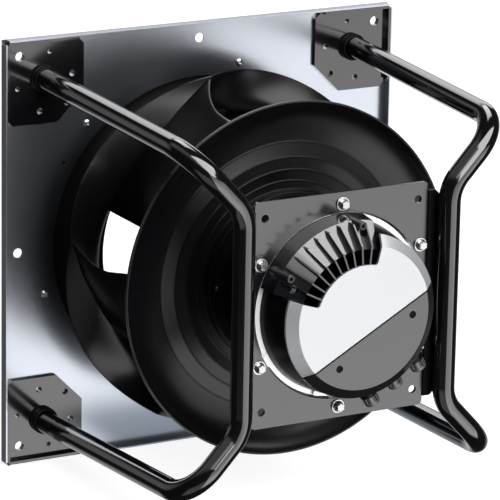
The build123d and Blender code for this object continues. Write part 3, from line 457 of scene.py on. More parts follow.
def finish(slot):
    """Material of a slot of the record, or the painted shade black, made once: a dull copy of the black paint
    that paints shade on pieces in shadow.
    """
    if slot in MATERIALS:
        return MATERIALS[slot]
    colours = bpy.context.scene.plugfan_finishes
    paint = tuple(colours.paint)
    plastic = tuple(colours.plastic)
    recipes = {
        "galvanised_sheet": (zinc_flakes, tuple(colours.zinc), 0.002,
                             dict(metallic=1.0, Roughness=0.25, Contrast=0.03)),
        "black_tube_paint": (surface_grain, paint, 0.01,
                             dict(coat=1.0, coat_roughness=0.03, Roughness=0.12, Gloss_drift=0.02)),
        "black_bracket_paint": (surface_grain, paint, 0.03,
                                dict(coat=1.0, coat_roughness=0.09, Roughness=0.13, Gloss_drift=0.02)),
        # Dull copy of the black paint with its gloss turned down: painted shade for pieces that sit in shadow
        "deep_black": (surface_grain, paint, 0.02, dict(specular=0.06, Roughness=0.4, Gloss_drift=0.04)),
        "black_nozzle_paint": (surface_grain, paint, 0.03,
                               dict(specular=0.12, Roughness=0.4, Gloss_drift=0.04)),
        "black_plate_paint": (surface_grain, paint, 0.02,
                              dict(coat=1.0, coat_roughness=0.14, Roughness=0.18, Gloss_drift=0.02)),
        "impeller_black": (surface_grain, plastic, 0.03,
                           dict(specular=0.30, Roughness=0.27, Grain_size=1800.0, Gloss_drift=0.03)),
        "housing_black": (surface_grain, paint, 0.04,
                          dict(coat=0.05, coat_roughness=0.15, specular=0.08, Roughness=0.3,
                               Gloss_drift=0.05)),
        "heat_sink_grey": (surface_grain, (0.004, 0.0045, 0.006), 0.04,
                           dict(coat=1.0, coat_roughness=0.12, Roughness=0.2, Gloss_drift=0.05)),
        "cap_silver": (surface_grain, tuple(colours.silver), 0.06,
                       dict(metallic=0.62, Roughness=0.36, Grain_size=2200.0, Speckle=0.10,
                            Colour_drift=0.02)),
        "flange_aluminium": (surface_grain, (0.90, 0.90, 0.91), 0.05,
                             dict(metallic=0.4, Roughness=0.35, Gloss_drift=0.06)),
        "cover_grey": (surface_grain, tuple(colours.cover), 0.02,
                       dict(coat=1.0, coat_roughness=0.15, Roughness=0.2, Gloss_drift=0.03,
                            Colour_drift=0.03)),
        "bright_screw": (surface_grain, (0.42, 0.42, 0.43), 0.03,
                         dict(metallic=1.0, Roughness=0.24, Gloss_drift=0.06)),
        "dark_screw": (surface_grain, (0.004, 0.004, 0.005), 0.05,
                       dict(coat=0.2, coat_roughness=0.3, Roughness=0.45, Gloss_drift=0.05)),
        "gland_black": (surface_grain, paint, 0.06,
                        dict(coat=1.0, coat_roughness=0.1, Roughness=0.25, Gloss_drift=0.05)),
        "plug_grey": (surface_grain, (0.05, 0.05, 0.053), 0.04,
                      dict(coat=0.5, coat_roughness=0.2, Roughness=0.3, Gloss_drift=0.04)),
        "seal_rubber": (surface_grain, (0.01, 0.01, 0.01), 0.15, dict(Roughness=0.7)),
        "core_steel": (surface_grain, (0.30, 0.31, 0.33), 0.25, dict(metallic=1.0, Roughness=0.45)),
        "coil_copper": (surface_grain, (0.55, 0.20, 0.06), 0.3,
                        dict(metallic=0.9, coat=0.5, Roughness=0.3, Grain_size=900.0)),
        "bearing_steel": (surface_grain, (0.6, 0.61, 0.63), 0.04, dict(metallic=1.0, Roughness=0.2)),
        "magnet_dark": (surface_grain, (0.04, 0.04, 0.042), 0.3, dict(Roughness=0.6)),
        "board_green": (surface_grain, (0.01, 0.10, 0.04), 0.05, dict(coat=0.6, Roughness=0.35)),
        "capacitor_can": (surface_grain, (0.5, 0.52, 0.55), 0.04, dict(metallic=1.0, Roughness=0.3)),
        "terminal_plastic": (surface_grain, (0.04, 0.14, 0.07), 0.1, dict(Roughness=0.4)),
    }
    group, colour, bump, options = recipes[slot]
    MATERIALS[slot] = material(slot, group, colour, bump, **options)
    return MATERIALS[slot]


# Pieces

PLATE_FACE_Y = -336.7
TUBE_SEAT_Y = -7.0
TUBE_FOOT = (200.6, 0.0, 203.2)
TUBE_BEND = (190.0, -350.0, 189.7)
TUBE_GRIP = (127.7, -350.0, 123.1)
TUBE_SIDES = 64
SIDE_BAR_BREAK = 0.15


def tube_route(sx):
    """Corners of one tube's middle line from its upper to its lower foot; sx is -1 left and 1 right."""
    share = TUBE_SEAT_Y / TUBE_BEND[1]
    foot = [a + (b - a) * share for a, b in zip(TUBE_FOOT, TUBE_BEND)]
    upper = [foot, TUBE_BEND, TUBE_GRIP]
    lower = [(x, y, -z) for x, y, z in reversed(upper)]
    return [(sx * x * MM, y * MM, z * MM) for x, y, z in upper + lower]


class PLUGFAN_OT_sheet_parts(bpy.types.Operator):
    """Nozzle plate, brackets, motor plate and bars: their solids with broken edges"""

    bl_idname = "plugfan.sheet_parts"
    bl_label = "Sheet parts"

    def execute(self, context):
        width = context.scene.plugfan_frame.edge_break / MM
        parts = {
            "nozzle_plate": "galvanised_sheet",
            "bracket_top_left": "black_bracket_paint",
            "bracket_top_right": "black_bracket_paint",
            "bracket_bottom_left": "black_bracket_paint",
            "bracket_bottom_right": "black_bracket_paint",
            "motor_plate": "black_plate_paint",
            "side_bars": "black_plate_paint",
        }
        for node, slot in parts.items():
            bars = node == "side_bars"
            piece = dissolved(copied(node + "_sheet", node))
            edge_break(piece, SIDE_BAR_BREAK if bars else width)
            # The side bars take the dull black copy of the paint, painted shade, in place of their gloss
            # plate paint
            place(piece, STATIC, slot, finish("deep_black" if bars else slot), node)
        return {"FINISHED"}


class PLUGFAN_OT_tube_frames(bpy.types.Operator):
    """Two bent tubes and their four sockets"""

    bl_idname = "plugfan.tube_frames"
    bl_label = "Tube frames"

    def execute(self, context):
        sizes = context.scene.plugfan_frame
        slot = "black_tube_paint"
        for side, sx in (("left", -1), ("right", 1)):
            name = f"bent_tube_{side}"
            mesh = bpy.data.meshes.new(name)
            route = tube_route(sx)
            mesh.from_pydata(route, [(i, i + 1) for i in range(len(route) - 1)], [])
            tube = bpy.data.objects.new(name, mesh)
            context.scene.collection.objects.link(tube)
            run_tree(tube, pipe_tree, Tube_radius=sizes.tube_radius, Bend_radius=sizes.bend_radius,
                     Sides=TUBE_SIDES, Finish=finish(slot))
            cleaned(tube.data)
            edge_break(tube, 0)
            place(tube, STATIC, slot, finish(slot), f"tube_frame_{side}")
        sockets = edge_break(copied("tube_sockets", "tube_collars"), 0)
        # The sockets take the dull black copy of the paint, painted shade, in place of their gloss bracket
        # paint
        place(sockets, STATIC, "black_bracket_paint", finish("deep_black"), "tube_collars")
        return {"FINISHED"}


class PLUGFAN_OT_inlet_nozzle(bpy.types.Operator):
    """Spun inlet nozzle with its flange behind the plate"""

    bl_idname = "plugfan.inlet_nozzle"
    bl_label = "Inlet nozzle"

    def execute(self, context):
        slot = "black_nozzle_paint"
        piece = edge_break(copied("spun_nozzle", "inlet_nozzle"), 0)
        place(piece, STATIC, slot, finish(slot), "inlet_nozzle")
        return {"FINISHED"}


RIVET_COUNT = 6
RIVET_CIRCLE = 202.5
RIVET_FIRST_ANGLE = 15.0
RIVET_ROUND = 0.5
# Radius and y, from the drawn-in middle of the head round to the foot behind the nozzle's flange
RIVET = (
    (0, -2.6), (1.1, -2.6), (1.4, -3.9), (2.4, -4.1), (4.4, -2.8), (4.6, -2.0), (2.4, -2.0), (2.4, 2.0),
    (3.6, 2.0), (3.6, 3.2), (0, 3.2),
)


class PLUGFAN_OT_nozzle_rivets(bpy.types.Operator):
    """Rivets round the nozzle, repeated by a node tree"""

    bl_idname = "plugfan.nozzle_rivets"
    bl_label = "Nozzle rivets"

    def execute(self, context):
        slot = "bright_screw"
        outline = [(max(r, 0), y) for r, y in rounded(RIVET, RIVET_ROUND, 3)]
        rivet = turned_shape("rivet", outline, 24)
        edge_break(rivet, 0)
        rivets = ring("nozzle_rivet_ring", rivet, Count=RIVET_COUNT, Radius=RIVET_CIRCLE * MM,
                      First_angle=RIVET_FIRST_ANGLE, Step=360 / RIVET_COUNT, Height=0.0, Merge=0.0,
                      Finish=finish(slot))
        place(rivets, STATIC, slot, finish(slot), "nozzle_rivets")
        return {"FINISHED"}


EYE_R = 148.0
EYE_Y = -38.0
TIP_ANGLE = 99.0
TIP_R = 208.0
TIP_Y = -91.0
WAVE_R = (TIP_R, 206.0, 202.5, TIP_R)
WAVE_Y = (TIP_Y, -70.0, -51.0, TIP_Y)
COVER_PULL_R = 178.0
COVER_PULLS = (0.83, 1.34)
COVER_STEPS = 40
COVER_ACROSS = 22
COVER_EDGE_STEPS = 5
SLOPE_STEP = 0.0001
EDGE_REACH = 0.02
SPIRAL = 0.384
BLADE_INLET_POWER = 3
BLADE_WALL = 5.0
BLADE_EDGE_WALL = 3.0
BLADE_SEAT = 1.3
BLADE_NOSE = 2.0
BLADE_TAIL = 1.6
LEADING_Y = -52.0
LEADING_EYE_R = 147.0
LEADING_EYE_ANGLE = 159.6
LEADING_HUB_R = 138.0
LEADING_HUB_ANGLE = 160.3
TRAILING_INSET = 2.0
TRAILING_MID_R = 183.0
TRAILING_MID_ANGLE = 105.3
TRAILING_MID_Y = -140.0
TRAILING_HUB_R = 160.0
TRAILING_HUB_ANGLE = 101.8
HUB_DISH_Y = -206.7
HUB_DISH_R = 153.8
HUB_RIM_R = 204.1
HUB_FACE_Y = -203.7
HUB_DROP = 18.8
HUB_DROP_POWER = 1.6
BLADE_STEPS = 24


def bezier(values, t):
    s = 1 - t
    return s**3 * values[0] + 3 * s**2 * t * values[1] + 3 * s * t**2 * values[2] + t**3 * values[3]


def hub_y(r):
    """Height of the back plate's inner face under a blade."""
    share = max(0.0, (r - HUB_DISH_R) / (HUB_RIM_R - HUB_DISH_R))
    return HUB_FACE_Y - HUB_DROP * share**HUB_DROP_POWER


def shroud_section(phase, u, side, wall):
    """Radius, y and inner radius of the cover disc between its eye and its rim.

    The phase runs from one blade tip to the next, u from the eye to the rim, and side through the wall.
    """
    rim_r, rim_y = bezier(WAVE_R, phase), bezier(WAVE_Y, phase)
    depth = rim_y - EYE_Y
    radii = (EYE_R, EYE_R, COVER_PULL_R, rim_r)
    heights = (EYE_Y, *(EYE_Y + pull * depth for pull in COVER_PULLS), rim_y)
    low, high = max(0, u - SLOPE_STEP), min(1, u + SLOPE_STEP)
    dr = bezier(radii, high) - bezier(radii, low)
    dy = bezier(heights, high) - bezier(heights, low)
    size = hypot(dr, dy)
    r = bezier(radii, u)
    return r - side * wall * dy / size, bezier(heights, u) + side * wall * dr / size, r


def shroud_loop(phase, wall, pitch, across=COVER_ACROSS):
    """Closed section of the cover disc at one phase, with round edges, as points in space."""
    edge = [0.5 - 0.5 * cos(pi * k / COVER_EDGE_STEPS) for k in range(1, COVER_EDGE_STEPS)]
    spots = [(i / across, 0.0) for i in range(across + 1)]
    spots += [(1.0, side) for side in edge]
    spots += [(1 - i / across, 1.0) for i in range(across + 1)]
    spots += [(0.0, 1 - side) for side in edge]
    loop = []
    for u, side in spots:
        r, y, base_r = shroud_section(phase, u, side, wall)
        if 0 < side < 1:
            ahead = 0.5 * wall * sin(pi * (side if u > 0.5 else 1 - side))
            inside = 1 - EDGE_REACH if u > 0.5 else EDGE_REACH
            r2, y2, _ = shroud_section(phase, inside, side, wall)
            way = Vector((r - r2, y - y2)).normalized() * ahead
            r, y = r + way.x, y + way.y
        angle = TIP_ANGLE + pitch * phase + degrees(log(TIP_R / base_r) / SPIRAL)
        x, z = polar(r, angle)
        loop.append((x * MM, y * MM, z * MM))
    return loop


def strip_faces(loops):
    """Faces between neighbouring closed loops of equal length."""
    n = len(loops[0])
    faces = []
    for i in range(len(loops) - 1):
        for k in range(n):
            m = (k + 1) % n
            faces.append((i * n + k, i * n + m, (i + 1) * n + m, (i + 1) * n + k))
    return faces


def crease_y(r):
    """Height of the cover disc's inner side along a blade."""
    low, high = 0.0, 1.0
    for _ in range(24):
        middle = (low + high) / 2
        if shroud_section(0, middle, 0, 0)[2] < r:
            low = middle
        else:
            high = middle
    return shroud_section(0, low, 0, 0)[1]


def trailing_edge(y):
    """Radius and angle of the blades' rear edge at one height."""
    if y < TRAILING_MID_Y:
        share = (y - TRAILING_MID_Y) / (HUB_DISH_Y - TRAILING_MID_Y)
        r = TRAILING_MID_R + (TRAILING_HUB_R - TRAILING_MID_R) * share
        return r, TRAILING_MID_ANGLE + (TRAILING_HUB_ANGLE - TRAILING_MID_ANGLE) * share
    share = (y - TIP_Y) / (TRAILING_MID_Y - TIP_Y)
    r = TIP_R - TRAILING_INSET
    angle = TIP_ANGLE + (TRAILING_MID_ANGLE - TIP_ANGLE) * sin(share * pi / 2)
    return r + (TRAILING_MID_R - r) * share, angle


def blade_point(u, v):
    """Middle of a blade: x, y, z, the way its wall faces, and how far its edges are apart."""
    lead_r = LEADING_EYE_R + (LEADING_HUB_R - LEADING_EYE_R) * v
    lead_angle = LEADING_EYE_ANGLE + (LEADING_HUB_ANGLE - LEADING_EYE_ANGLE) * v
    top_r = LEADING_EYE_R + (TIP_R - TRAILING_INSET - LEADING_EYE_R) * u
    top_y = LEADING_Y
    if top_r > EYE_R + 1:
        top_y = min(LEADING_Y, crease_y(top_r))
    top_y += BLADE_SEAT
    bottom_r = LEADING_HUB_R + (TRAILING_HUB_R - LEADING_HUB_R) * u
    bottom_y = hub_y(bottom_r) - BLADE_SEAT
    y = top_y + (bottom_y - top_y) * v
    end_r, end_angle = trailing_edge(y)
    r = lead_r + (end_r - lead_r) * u
    whole = log(end_r / lead_r)
    even_growth = whole / radians(lead_angle - end_angle)
    growth = SPIRAL + (even_growth - SPIRAL) * v
    share = log(end_r / r) / whole
    flattening = lead_angle - end_angle - degrees(whole / growth)
    angle = end_angle + degrees(share * whole / growth) + flattening * share**BLADE_INLET_POWER
    x, z = polar(r, angle)
    return x, y, z, radians(angle) + pi / 2 - atan2(growth, 1), end_r - lead_r


def blade_loop(v, around=36):
    """Closed section of one blade at a share of its height, from the cover disc to the back plate."""
    loop = []
    spots = [(0.5 - 0.5 * cos(pi * i / around), 1) for i in range(around + 1)]
    spots += [(0.5 + 0.5 * cos(pi * i / around), -1) for i in range(1, around)]
    for u, side in spots:
        x, y, z, lean, span = blade_point(u, v)
        nose = min(1.0, u * span / BLADE_NOSE, (1 - u) * span / BLADE_TAIL)
        half = (BLADE_EDGE_WALL + (BLADE_WALL - BLADE_EDGE_WALL) * sin(pi * u)) / 2
        half *= (max(0.0, 1 - (1 - nose) ** 2)) ** 0.5
        loop.append(((x + side * half * sin(lean)) * MM, y * MM, (z - side * half * cos(lean)) * MM))
    return loop


class PLUGFAN_OT_impeller(bpy.types.Operator):
    """Cover disc with a wavy rim, curved blades and ribbed back plate"""

    bl_idname = "plugfan.impeller"
    bl_label = "Impeller"

    def execute(self, context):
        sizes = context.scene.plugfan_impeller
        slot = "impeller_black"
        step = 360 / sizes.blades
        loops = [shroud_loop(i / COVER_STEPS, sizes.wall / MM, step) for i in range(COVER_STEPS + 1)]
        verts = [p for loop in loops for p in loop]
        sector = shape("cover sector", verts, strip_faces(loops))
        cover = ring("wavy_cover_disc", sector, Count=sizes.blades, Radius=0.0, First_angle=0.0, Step=step,
                     Height=0.0, Merge=0.02 * MM, Finish=finish(slot))
        cleaned(cover.data)
        edge_break(cover, 0)
        place(cover, TURNING, slot, finish(slot), "impeller_shroud")

        loops = [blade_loop(i / BLADE_STEPS) for i in range(BLADE_STEPS + 1)]
        verts = [p for loop in loops for p in loop]
        faces = strip_faces(loops)
        n = len(loops[0])
        half = n // 2
        for base in (0, BLADE_STEPS * n):
            for k in range(1, half - 1):
                faces.append((base + k, base + k + 1, base + n - k - 1, base + n - k))
            faces.append((base, base + 1, base + n - 1))
            faces.append((base + half - 1, base + half, base + half + 1))
        blade = shape("blade", verts, faces)
        blades = ring("curved_blades", blade, Count=sizes.blades, Radius=0.0, First_angle=0.0, Step=step,
                      Height=0.0, Merge=0.0, Finish=finish(slot))
        edge_break(blades, 0)
        place(blades, TURNING, slot, finish(slot), "impeller_blades")

        plate = edge_break(copied("ribbed_back_plate", "impeller_back_plate"), 0.35)
        place(plate, TURNING, slot, finish(slot), "impeller_back_plate")
        return {"FINISHED"}


class PLUGFAN_OT_rotor_bell(bpy.types.Operator):
    """Rotor bell and the screws of the impeller"""

    bl_idname = "plugfan.rotor_bell"
    bl_label = "Rotor bell"

    def execute(self, context):
        bell = edge_break(copied("deep_drawn_bell", "rotor_bell"), 0.3)
        place(bell, TURNING, "housing_black", finish("housing_black"), "rotor_bell")
        screws = edge_break(copied("impeller_screws", "hub_screws"), 0)
        place(screws, TURNING, "dark_screw", finish("dark_screw"), "hub_screws")
        return {"FINISHED"}


# Radius, height above the motor plate and depth of the lobes, from the screw's tip to its face
MOTOR_SCREW = (
    (0.0, 11.0, 0.0), (4.0, 11.0, 0.0), (4.0, -1.6, 0.0),
    (5.9, -1.6, 0.0), (6.1, -2.0, 0.0), (5.9, -2.5, 0.0),
    (4.7, -3.4, 0.05), (4.5, -3.8, 0.12), (4.4, -7.6, 0.13), (4.1, -8.1, 0.13), (0.0, -8.1, 0.0),
)
# Radius and height above the motor plate
MOTOR_WASHER = ((4.2, 0), (4.2, -1.6), (7.9, -1.6), (7.9, 0))
WASHER_ROUND = 0.4
MOTOR_SCREW_FIRST_ANGLE = 30.0


def lobed_faces(profile, lobes, around=72):
    """Vertices and faces of a turned piece; each round's radius swells at the lobes by its own share."""
    loops = []
    for r, y, depth in profile:
        loop = []
        for i in range(around):
            angle = 2 * pi * i / around
            wave = r * (1 + depth * cos(lobes * angle))
            loop.append((wave * cos(angle) * MM, y * MM, wave * sin(angle) * MM))
        loops.append(loop)
    return [point for loop in loops for point in loop], strip_faces(loops)


class PLUGFAN_OT_motor_screws(bpy.types.Operator):
    """Motor screws with lobed heads and their washers, repeated by a node tree"""

    bl_idname = "plugfan.motor_screws"
    bl_label = "Motor screws"

    def execute(self, context):
        sizes = context.scene.plugfan_motor
        slot = "bright_screw"
        screw = shape("lobed screw", *lobed_faces(MOTOR_SCREW, sizes.lobes))
        washer = turned_shape("washer", rounded(MOTOR_WASHER, WASHER_ROUND, 3), 40)
        for name, piece, node in (("motor_screws", screw, "flange_screws"),
                                  ("motor_washers", washer, "flange_washers")):
            edge_break(piece, 0)
            pieces = ring(name, piece, Count=sizes.screw_count, Radius=sizes.screw_circle,
                          First_angle=MOTOR_SCREW_FIRST_ANGLE, Step=360 / sizes.screw_count,
                          Height=PLATE_FACE_Y * MM, Merge=0.0, Finish=finish(slot))
            place(pieces, STATIC, slot, finish(slot), node)
        return {"FINISHED"}


FLANGE_RECESS = 3.5
FACE_BAND = 0.5
SPLIT_ANGLE = -60.9
SPLIT_OFFSET = 19.4
SPLIT_BAND = 0.5
SPLIT_MIDDLE = 0.2
SPLIT_WIDENING = 1.0


def recessed(obj):
    """Front of the flange, and the foot of the housing on it, set back into the hole of the motor plate."""
    foot = obj.name.startswith("electronics")
    for vertex in obj.data.vertices:
        y = vertex.co.y / MM
        if (foot and y > PLATE_FACE_Y - FACE_BAND) or (not foot and y < PLATE_FACE_Y + FACE_BAND):
            vertex.co.y += FLANGE_RECESS * MM
    return obj


def widened_split(obj):
    """Straight edge of the cap or of its cover moved a little away from the other one."""
    way = Vector((cos(radians(SPLIT_ANGLE)), 0, sin(radians(SPLIT_ANGLE))))
    for vertex in obj.data.vertices:
        gap = vertex.co.dot(way) / MM - SPLIT_OFFSET
        if abs(gap) < SPLIT_BAND:
            vertex.co += way * (SPLIT_WIDENING if gap > SPLIT_MIDDLE else -SPLIT_WIDENING) * MM
    return obj


class PLUGFAN_OT_motor_housing(bpy.types.Operator):
    """Stator flange, electronics housing, heat sink, covers and glands"""

    bl_idname = "plugfan.motor_housing"
    bl_label = "Motor housing"

    def execute(self, context):
        parts = {
            "stator_flange": ("flange_aluminium", 0.4),
            "electronics_housing": ("housing_black", 0.4),
            "heat_sink": ("heat_sink_grey", 0.25),
            "electronics_cap": ("cap_silver", 0.12),
            "terminal_cover": ("cover_grey", 0.12),
            "terminal_screws": ("dark_screw", 0.2),
            "sink_studs": ("dark_screw", 0.25),
            "sink_screw": ("dark_screw", 0.2),
            "gland_nuts": ("gland_black", 0.25),
            "gland_plugs": ("plug_grey", 0.0),
        }
        for node, (slot, width) in parts.items():
            piece = copied(node + "_finished", node)
            if node in ("stator_flange", "electronics_housing"):
                recessed(piece)
            if node in ("electronics_cap", "terminal_cover"):
                widened_split(piece)
            piece = edge_break(dissolved(piece), width)
            # The terminal screws take the dull black copy of the paint, painted shade, in place of their own
            # screw finish
            place(piece, STATIC, slot, finish("deep_black" if node == "terminal_screws" else slot), node)
        return {"FINISHED"}


class PLUGFAN_OT_inner_parts(bpy.types.Operator):
    """Materials of the pieces inside the motor and the housing"""

    bl_idname = "plugfan.inner_parts"
    bl_label = "Inner parts"

    def execute(self, context):
        slots = {row["node"]: row["material_slot"] for row in frame["record"]["subparts"]}
        for node, obj in frame["nodes"].items():
            if not obj.hide_render:
                obj.data.materials.clear()
                obj.data.materials.append(finish(slots[node]))
        return {"FINISHED"}


def studio_card():
    """Mask of one flat bright card of the studio, by its edges as seen from the object."""
    edges = ("Left", "Right", "Low", "High")
    ways = {"Facing": (0, -1, 0), "Across": (1, 0, 0), "Upwards": (0, 0, 1)}
    sockets = [(name, "Vector", way) for name, way in ways.items()]
    sockets += [(edge, "Float", 0.5) for edge in edges]
    sockets += [(edge + " softness", "Float", 0.05) for edge in edges]
    tree = shader_group("studio card", sockets + [("Brightness", "Float", 1.0)], [("Level", "Float")])
    given = add_node(tree, "NodeGroupInput").outputs
    way = add_node(tree, "ShaderNodeTexCoord").outputs["Generated"]
    dots = [add_node(tree, "ShaderNodeVectorMath", operation="DOT_PRODUCT", values={0: way, 1: given[name]})
            for name in ways]
    depth, aside, above = (dot.outputs["Value"] for dot in dots)
    level = calc(tree, "MULTIPLY", given["Brightness"], calc(tree, "GREATER_THAN", depth, 0.001))
    for edge, distance, side in zip(edges, (aside, aside, above, above), (1, -1, 1, -1)):
        spread = calc(tree, "MULTIPLY", given[edge + " softness"], side)
        inside = add_node(tree, "ShaderNodeMapRange", interpolation_type="SMOOTHSTEP", values={
            "Value": calc(tree, "DIVIDE", distance, depth),
            "From Min": calc(tree, "SUBTRACT", given[edge], spread),
            "From Max": calc(tree, "ADD", given[edge], spread)}).outputs[0]
        level = calc(tree, "MULTIPLY", level, inside)
    add_node(tree, "NodeGroupOutput", values={0: level})
    return tree


# Each card: its turn and rise, its left, right, low and high edge at a distance of 1, their softness, and
# its brightness. A turn of 0 is in front of the motor, 90 to its right, and a rise of 90 is overhead.
CARDS = {
    "front right": ((0, 0), (-0.20, 1.15, -1.50, 0.05), (0.05, 0.05, 0.15, 0.05), 1.5),
    "front right glow": ((0, 0), (-0.20, 1.15, -1.20, -0.35), (0.05, 0.05, 0.25, 0.30), 1.5),
    "overhead": ((0, 90), (-0.58, 1.20, -12.0, -0.45), (0.12, 0.08, 1.50, 0.05), 6.5),
    "overhead far": ((0, 90), (1.20, 1.85, -12.0, -4.00), (0.08, 0.06, 1.50, 0.50), 6.5),
    "left of overhead": ((0, 90), (-1.10, -0.55, -3.0, -1.20), (0.10, 0.08, 0.30, 0.15), 2.0),
    "overhead behind": ((0, 90), (0.02, 0.60, 0.20, 1.00), (0.04, 0.10, 0.06, 0.15), 4.7),
    "behind": ((180, 0), (-1.25, 0.10, 0.36, 0.88), (0.06, 0.03, 0.45, 0.10), 2.10),
    "left front floor": ((-47, -40), (-0.45, 0.45, -0.38, 0.34), (0.12, 0.12, 0.10, 0.10), 0.5),
    "left behind": ((-145, 7), (-0.32, 0.32, -0.17, 0.27), (0.15, 0.15, 0.10, 0.12), 0.40),
    "right behind": ((135, -15), (-0.45, 0.45, -0.35, 0.35), (0.20, 0.20, 0.20, 0.20), 0.30),
    "left above": ((-85, 50), (-0.84, 0.84, -0.25, 0.25), (0.30, 0.30, 0.15, 0.15), 0.45),
    "behind below": ((180, -25), (-0.36, 0.36, -0.28, 0.28), (0.15, 0.15, 0.15, 0.15), 0.5),
}
ROOM_LIGHT = 0.02


def card_axes(turn, rise):
    """Way to a card's plane, and the ways along it to the right and upwards."""
    t, e = radians(turn), radians(rise)
    facing = (sin(t) * cos(e), -cos(t) * cos(e), sin(e))
    return facing, (cos(t), sin(t), 0), (-sin(t) * sin(e), cos(t) * sin(e), cos(e))


SHADOW_LOW = (-150, -185)
SHADOW_HIGH = (330, 40)
SHADOW_EDGE = 70.0
SHADOW_COLOUR = (0.50, 0.55, 0.62, 1)
SHADOW_LIFT = 0.1


def floor_shadow(low):
    """Dark patch of floor below the fan, which only its glossy faces see."""
    (x0, y0), (x1, y1) = SHADOW_LOW, SHADOW_HIGH
    height = low + SHADOW_LIFT * MM
    corners = [(x0, y0), (x1, y0), (x1, y1), (x0, y1)]
    patch = shape("floor_shadow", [(x * MM, y * MM, height) for x, y in corners], [(0, 1, 2, 3)])
    shade = bpy.data.materials.new("floor_shadow")
    shade.use_nodes = True
    tree = shade.node_tree
    tree.nodes.remove(tree.nodes["Principled BSDF"])
    spot = add_node(tree, "ShaderNodeTexCoord").outputs["Object"]
    x, y, _ = add_node(tree, "ShaderNodeSeparateXYZ", values={0: spot}).outputs
    cover = None
    for value, edge, way in ((x, x0, 1), (x, x1, -1), (y, y0, 1)):
        part = add_node(tree, "ShaderNodeMapRange", interpolation_type="SMOOTHSTEP", values={
            "Value": value, "From Min": edge * MM, "From Max": (edge + way * SHADOW_EDGE) * MM}).outputs[0]
        cover = part if cover is None else calc(tree, "MULTIPLY", cover, part)
    glow = add_node(tree, "ShaderNodeEmission", values={"Color": SHADOW_COLOUR, "Strength": 1.0})
    clear = add_node(tree, "ShaderNodeBsdfTransparent")
    mix = add_node(tree, "ShaderNodeMixShader", values={0: cover, 1: clear.outputs[0], 2: glow.outputs[0]})
    tree.links.new(mix.outputs[0], tree.nodes["Material Output"].inputs["Surface"])
    patch.data.materials.append(shade)
    for ray in ("camera", "diffuse", "transmission", "shadow"):
        setattr(patch, "visible_" + ray, False)
    return patch


FLOOR_HALF = 8
IMAGE_SIZE = 500
FOCAL_PIXELS = 3763.38
CENTRE_PIXELS = (249.642, 250.789)
CAMERA_PLACE = (-1.9831655, -3.7254596, 1.1806679)
CAMERA_YAW, CAMERA_PITCH, CAMERA_ROLL = 28.8843, -15.9337, 1.0894


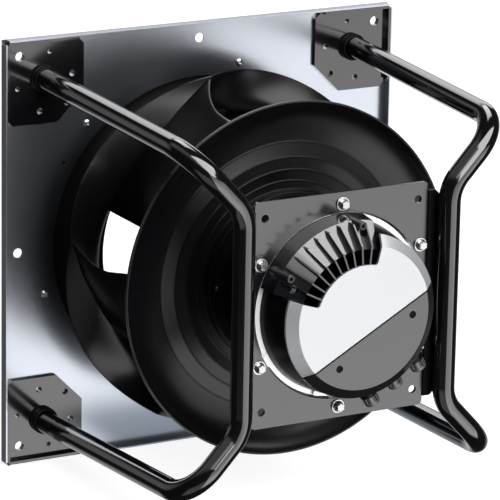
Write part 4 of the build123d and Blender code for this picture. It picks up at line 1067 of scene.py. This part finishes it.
class PLUGFAN_OT_stage(bpy.types.Operator):
    """Pale floor, soft studio light and the camera"""

    bl_idname = "plugfan.stage"
    bl_label = "Stage"

    def execute(self, context):
        low = cad_low.z
        half = FLOOR_HALF
        corners = [(-half, -half, low), (half, -half, low), (half, half, low), (-half, half, low)]
        floor = shape("studio_floor", corners, [(0, 1, 2, 3)])
        paper = bpy.data.materials.new("studio_paper")
        paper.use_nodes = True
        shader = paper.node_tree.nodes["Principled BSDF"]
        shader.inputs["Base Color"].default_value = (*context.scene.plugfan_finishes.floor, 1)
        shader.inputs["Roughness"].default_value = 0.9
        shader.inputs["Emission Color"].default_value = (1, 1, 1, 1)
        shader.inputs["Emission Strength"].default_value = 0.85
        floor.data.materials.append(paper)
        for ray in ("diffuse", "glossy", "transmission", "shadow"):
            setattr(floor, "visible_" + ray, False)
        floor_shadow(low)

        world = bpy.data.worlds.new("studio")
        context.scene.world = world
        world.use_nodes = True
        tree = world.node_tree
        card = studio_card()
        level = None
        for place_of_card, edges, softness, brightness in CARDS.values():
            values = (*card_axes(*place_of_card), *edges, *softness, brightness)
            lamp = add_node(tree, "ShaderNodeGroup", node_tree=card, values=dict(enumerate(values)))
            level = calc(tree, "ADD", lamp.outputs[0], ROOM_LIGHT if level is None else level)
        room = tree.nodes["Background"]
        room.inputs["Color"].default_value = (1, 1, 1, 1)
        tree.links.new(level, room.inputs["Strength"])
        pale = add_node(tree, "ShaderNodeBackground", values={"Color": (1, 1, 1, 1), "Strength": 1.0})
        seen = add_node(tree, "ShaderNodeLightPath").outputs["Is Camera Ray"]
        mix = add_node(tree, "ShaderNodeMixShader", values={
            0: seen, 1: room.outputs[0], 2: pale.outputs[0]})
        tree.links.new(mix.outputs[0], tree.nodes["World Output"].inputs["Surface"])

        camera = bpy.data.cameras.new("camera")
        camera.sensor_width = 36.0
        camera.lens = FOCAL_PIXELS / IMAGE_SIZE * camera.sensor_width
        camera.shift_x = (IMAGE_SIZE / 2 - CENTRE_PIXELS[0]) / IMAGE_SIZE
        camera.shift_y = (CENTRE_PIXELS[1] - IMAGE_SIZE / 2) / IMAGE_SIZE
        camera.clip_start, camera.clip_end = 0.1, 60.0
        yaw, pitch, roll = radians(CAMERA_YAW), radians(CAMERA_PITCH), radians(CAMERA_ROLL)
        forward = Vector((sin(yaw) * cos(pitch), cos(yaw) * cos(pitch), sin(pitch)))
        right = Vector((cos(yaw), -sin(yaw), 0))
        up = right.cross(forward)
        right_rolled = cos(roll) * right + sin(roll) * up
        up_rolled = cos(roll) * up - sin(roll) * right
        turn = Matrix((right_rolled, up_rolled, -forward)).transposed()
        eye = bpy.data.objects.new("camera", camera)
        eye.matrix_world = Matrix.Translation(CAMERA_PLACE) @ turn.to_4x4()
        context.scene.collection.objects.link(eye)
        context.scene.camera = eye
        context.scene.view_settings.view_transform = "Standard"
        return {"FINISHED"}


class PLUGFAN_PT_panel(bpy.types.Panel):
    """Sidebar panel that lists the pieces and their sizes"""

    bl_label = "Plug fan"
    bl_space_type = "VIEW_3D"
    bl_region_type = "UI"
    bl_category = "Plug fan"

    def draw(self, context):
        for name in GROUPS_OF_VALUES:
            values = getattr(context.scene, name)
            for key in values.__annotations__:
                self.layout.prop(values, key)
        for operator in OPERATORS:
            self.layout.operator(operator.bl_idname)


GROUPS_OF_VALUES = {
    "plugfan_frame": FrameSizes,
    "plugfan_impeller": ImpellerSizes,
    "plugfan_motor": MotorSizes,
    "plugfan_finishes": Finishes,
}
OPERATORS = (
    PLUGFAN_OT_sheet_parts,
    PLUGFAN_OT_tube_frames,
    PLUGFAN_OT_inlet_nozzle,
    PLUGFAN_OT_nozzle_rivets,
    PLUGFAN_OT_impeller,
    PLUGFAN_OT_rotor_bell,
    PLUGFAN_OT_motor_screws,
    PLUGFAN_OT_motor_housing,
    PLUGFAN_OT_inner_parts,
    PLUGFAN_OT_stage,
)


def register():
    for name, group in GROUPS_OF_VALUES.items():
        bpy.utils.register_class(group)
        setattr(bpy.types.Scene, name, bpy.props.PointerProperty(type=group))
    for operator in OPERATORS:
        bpy.utils.register_class(operator)
    bpy.utils.register_class(PLUGFAN_PT_panel)


def unregister():
    bpy.utils.unregister_class(PLUGFAN_PT_panel)
    for operator in reversed(OPERATORS):
        bpy.utils.unregister_class(operator)
    for name, group in GROUPS_OF_VALUES.items():
        delattr(bpy.types.Scene, name)
        bpy.utils.unregister_class(group)


def main():
    register()
    for operator in OPERATORS:
        family, name = operator.bl_idname.split(".")
        getattr(getattr(bpy.ops, family), name)()


if __name__ == "__main__":
    main()
